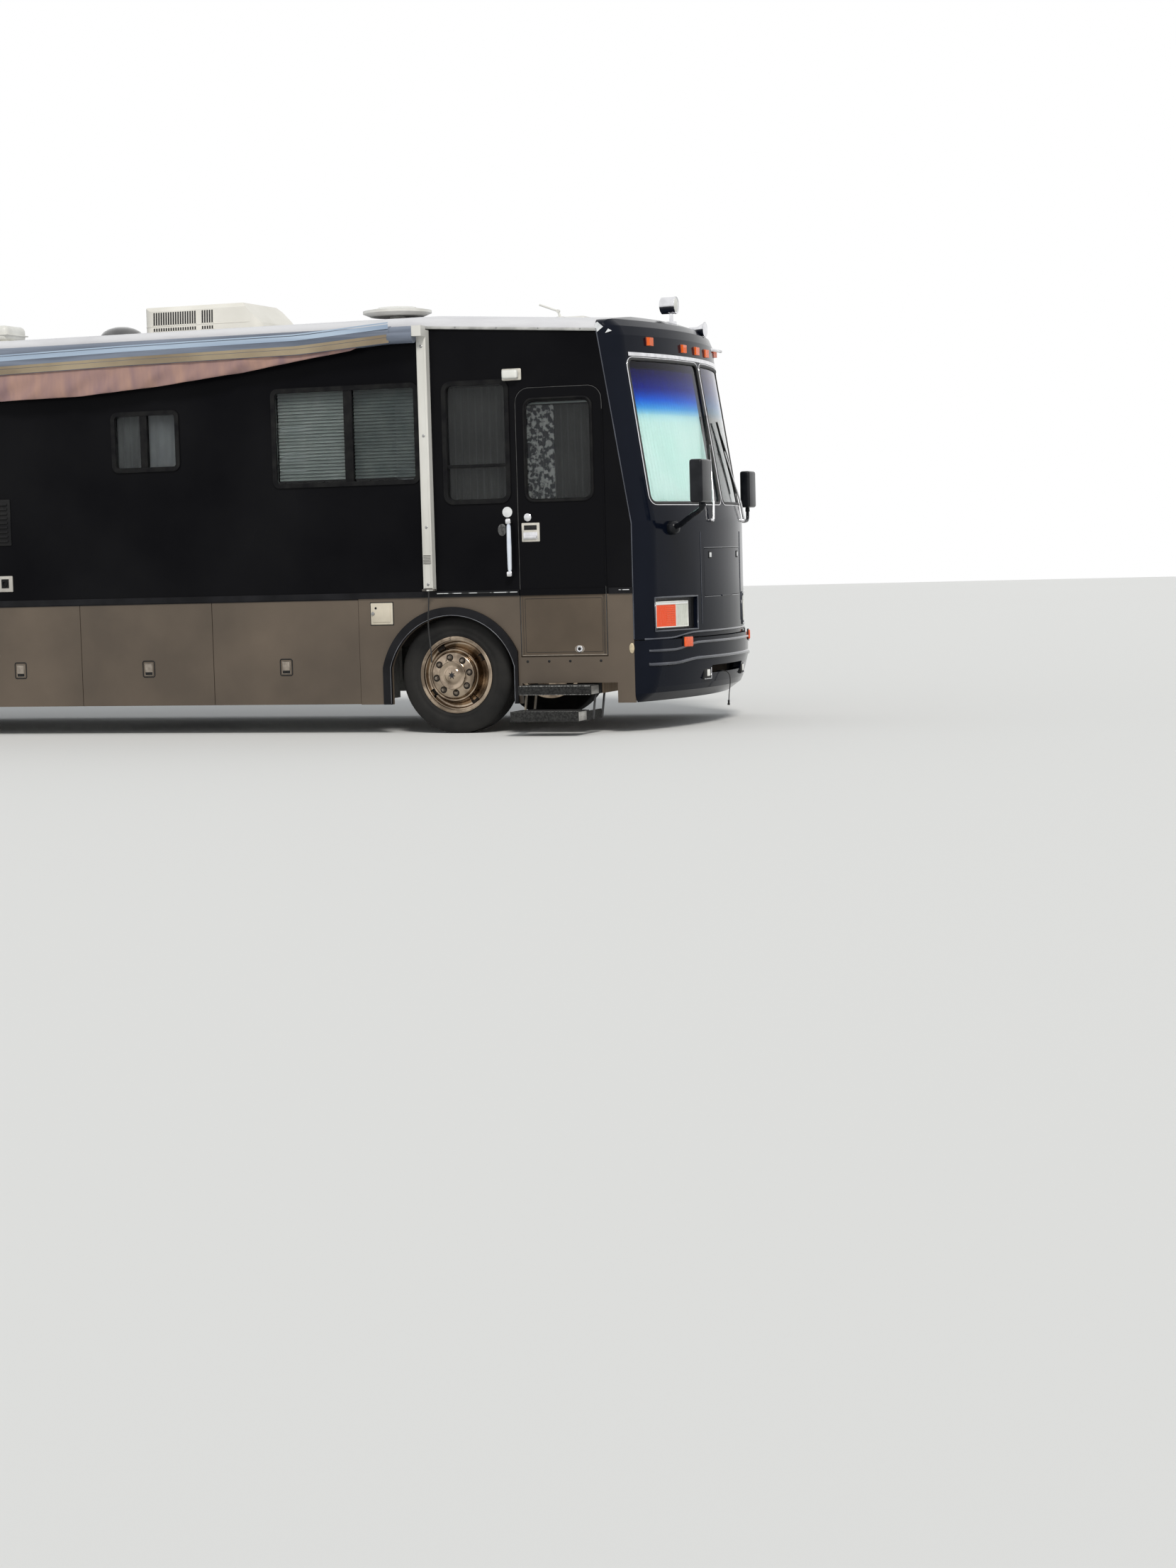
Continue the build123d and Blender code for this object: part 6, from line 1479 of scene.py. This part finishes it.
# Underneath are black painted chassis rails, cast axles and knuckles, grey plastic tanks, the
# engine with its exhaust, the bays' grey sheet boxes and the plywood deck with its stairwell.
frame_steel = finish(
    "frame_steel", ((0.030, 0.030, 0.031), (0.070, 0.060, 0.052)), 0.65, scale=3.0, bump=0.15,
)
dress("chassis_frame", frame_steel)
cast_iron = finish(
    "cast_iron", ((0.095, 0.090, 0.083), (0.17, 0.13, 0.10)), 0.7, scale=7.0, metallic=0.3, bump=0.5,
    bump_scale=70.0,
)
for node in ("front_axle", "rear_axle", "knuckle_left", "knuckle_right"):
    dress(node, cast_iron)
dress(
    "engine",
    finish("engine_iron", ((0.14, 0.14, 0.14), (0.24, 0.22, 0.20)), 0.55, scale=4.0, metallic=0.5, bump=0.3),
)
dress("tanks", finish("tank_plastic", ((0.56, 0.56, 0.53), (0.42, 0.42, 0.40)), 0.6, scale=3.0, bump=0.1))
dress(
    "bay_structure",
    finish("bay_sheet", ((0.24, 0.24, 0.23), (0.17, 0.17, 0.165)), 0.5, scale=4.0, metallic=0.4),
)
dress(
    "floor_deck",
    finish(
        "floor_board", ((0.34, 0.25, 0.17), (0.24, 0.17, 0.11)), 0.7, scale=2.5, stretch=(0.4, 6, 1),
        bump=0.2,
    ),
)

# The cab has a vinyl-covered dashboard with a wheel and two dials, and cloth seats: two on
# pedestals and a sofa along the left wall, with piped cushions over a boxed base.
dash_brown = finish(
    "dash_brown", ((0.24, 0.20, 0.165), (0.17, 0.14, 0.115)), 0.6, scale=6.0, bump=0.3, bump_scale=160.0,
)
dress("dashboard", dash_brown)
dials = [
    spun([
        (0.0, 0.060), (0.010, 0.060), (0.012, 0.054), (0.004, 0.050), (0.004, 0.0),
    ], (4.7795, y, 1.47), (-1, 0, 0), 32)
    for y in (0.50, 0.74)
]
fitted("dash_dials", dials, latch_dark)
seat_cloth = cloth("seat_cloth", ((0.40, 0.33, 0.25), (0.30, 0.25, 0.19)), weave=300.0)
base_brown = finish(
    "base_brown", ((0.20, 0.15, 0.10), (0.14, 0.10, 0.07)), 0.55, scale=3.0, stretch=(4, 1, 1), bump=0.1,
)


def cushion(low, high, swell, edge):
    """A stuffed cushion: a block divided, rounded at its edges and swollen towards its middles."""
    start_piece()
    piece = block(low, high)
    bpy.ops.object.mode_set(mode="EDIT")
    bpy.ops.mesh.select_all(action="SELECT")
    bpy.ops.mesh.subdivide(number_cuts=9)
    bpy.ops.object.mode_set(mode="OBJECT")
    middle = [(a + b) / 2 for a, b in zip(low, high)]
    half = [(b - a) / 2 for a, b in zip(low, high)]
    for vertex in piece.data.vertices:
        share = [(vertex.co[i] - middle[i]) / half[i] for i in range(3)]
        for i in range(3):
            others = [abs(share[j]) for j in range(3) if j != i]
            plump = (1 - others[0] ** 4) * (1 - others[1] ** 4)
            corner = max(others) ** 8
            vertex.co[i] = middle[i] + share[i] * (half[i] - swell * (1 - plump) * 0.6 - edge * corner * 0.5)
    bpy.ops.object.shade_smooth()
    return piece


soft_parts = []
seat_x, seat_ys = 4.300, (0.620, -0.200)
for y in seat_ys:
    soft_parts.append(cushion(
        (seat_x - 0.170, y - 0.260, 1.352), (seat_x + 0.260, y + 0.260, 1.500), 0.020, 0.020,
    ))
    soft_parts.append(cushion(
        (seat_x - 0.300, y - 0.250, 1.490), (seat_x - 0.172, y + 0.250, 2.170), 0.020, 0.020,
    ))
    for arm_y in (y - 0.276, y + 0.276):
        soft_parts.append(cushion(
            (seat_x - 0.290, arm_y - 0.024, 1.640), (seat_x + 0.060, arm_y + 0.024, 1.710), 0.008, 0.010,
        ))
for sofa_x in (2.055, 2.600):
    soft_parts.append(cushion((sofa_x, 0.415, 1.330), (sofa_x + 0.540, 0.945, 1.470), 0.020, 0.020))
    soft_parts.append(cushion((sofa_x, 0.952, 1.450), (sofa_x + 0.540, 1.127, 1.868), 0.022, 0.020))
seats = fitted("seat_cushions", soft_parts, seat_cloth)
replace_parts(seats, "seats")
seat_bases = [block((2.055, 0.420, 1.052), (3.145, 1.125, 1.328), 0.006)]
for y in seat_ys:
    seat_bases.append(slab(seat_x, y, 0.150, 0.160, 1.051, 1.090, 0.006))
    seat_bases.append(bar((seat_x, y, 1.088), (seat_x, y, 1.320), 0.060, 0.055, 28, 0.004))
    seat_bases.append(slab(seat_x, y, 0.165, 0.180, 1.315, 1.352, 0.006))
fitted("seat_bases", seat_bases, base_brown)
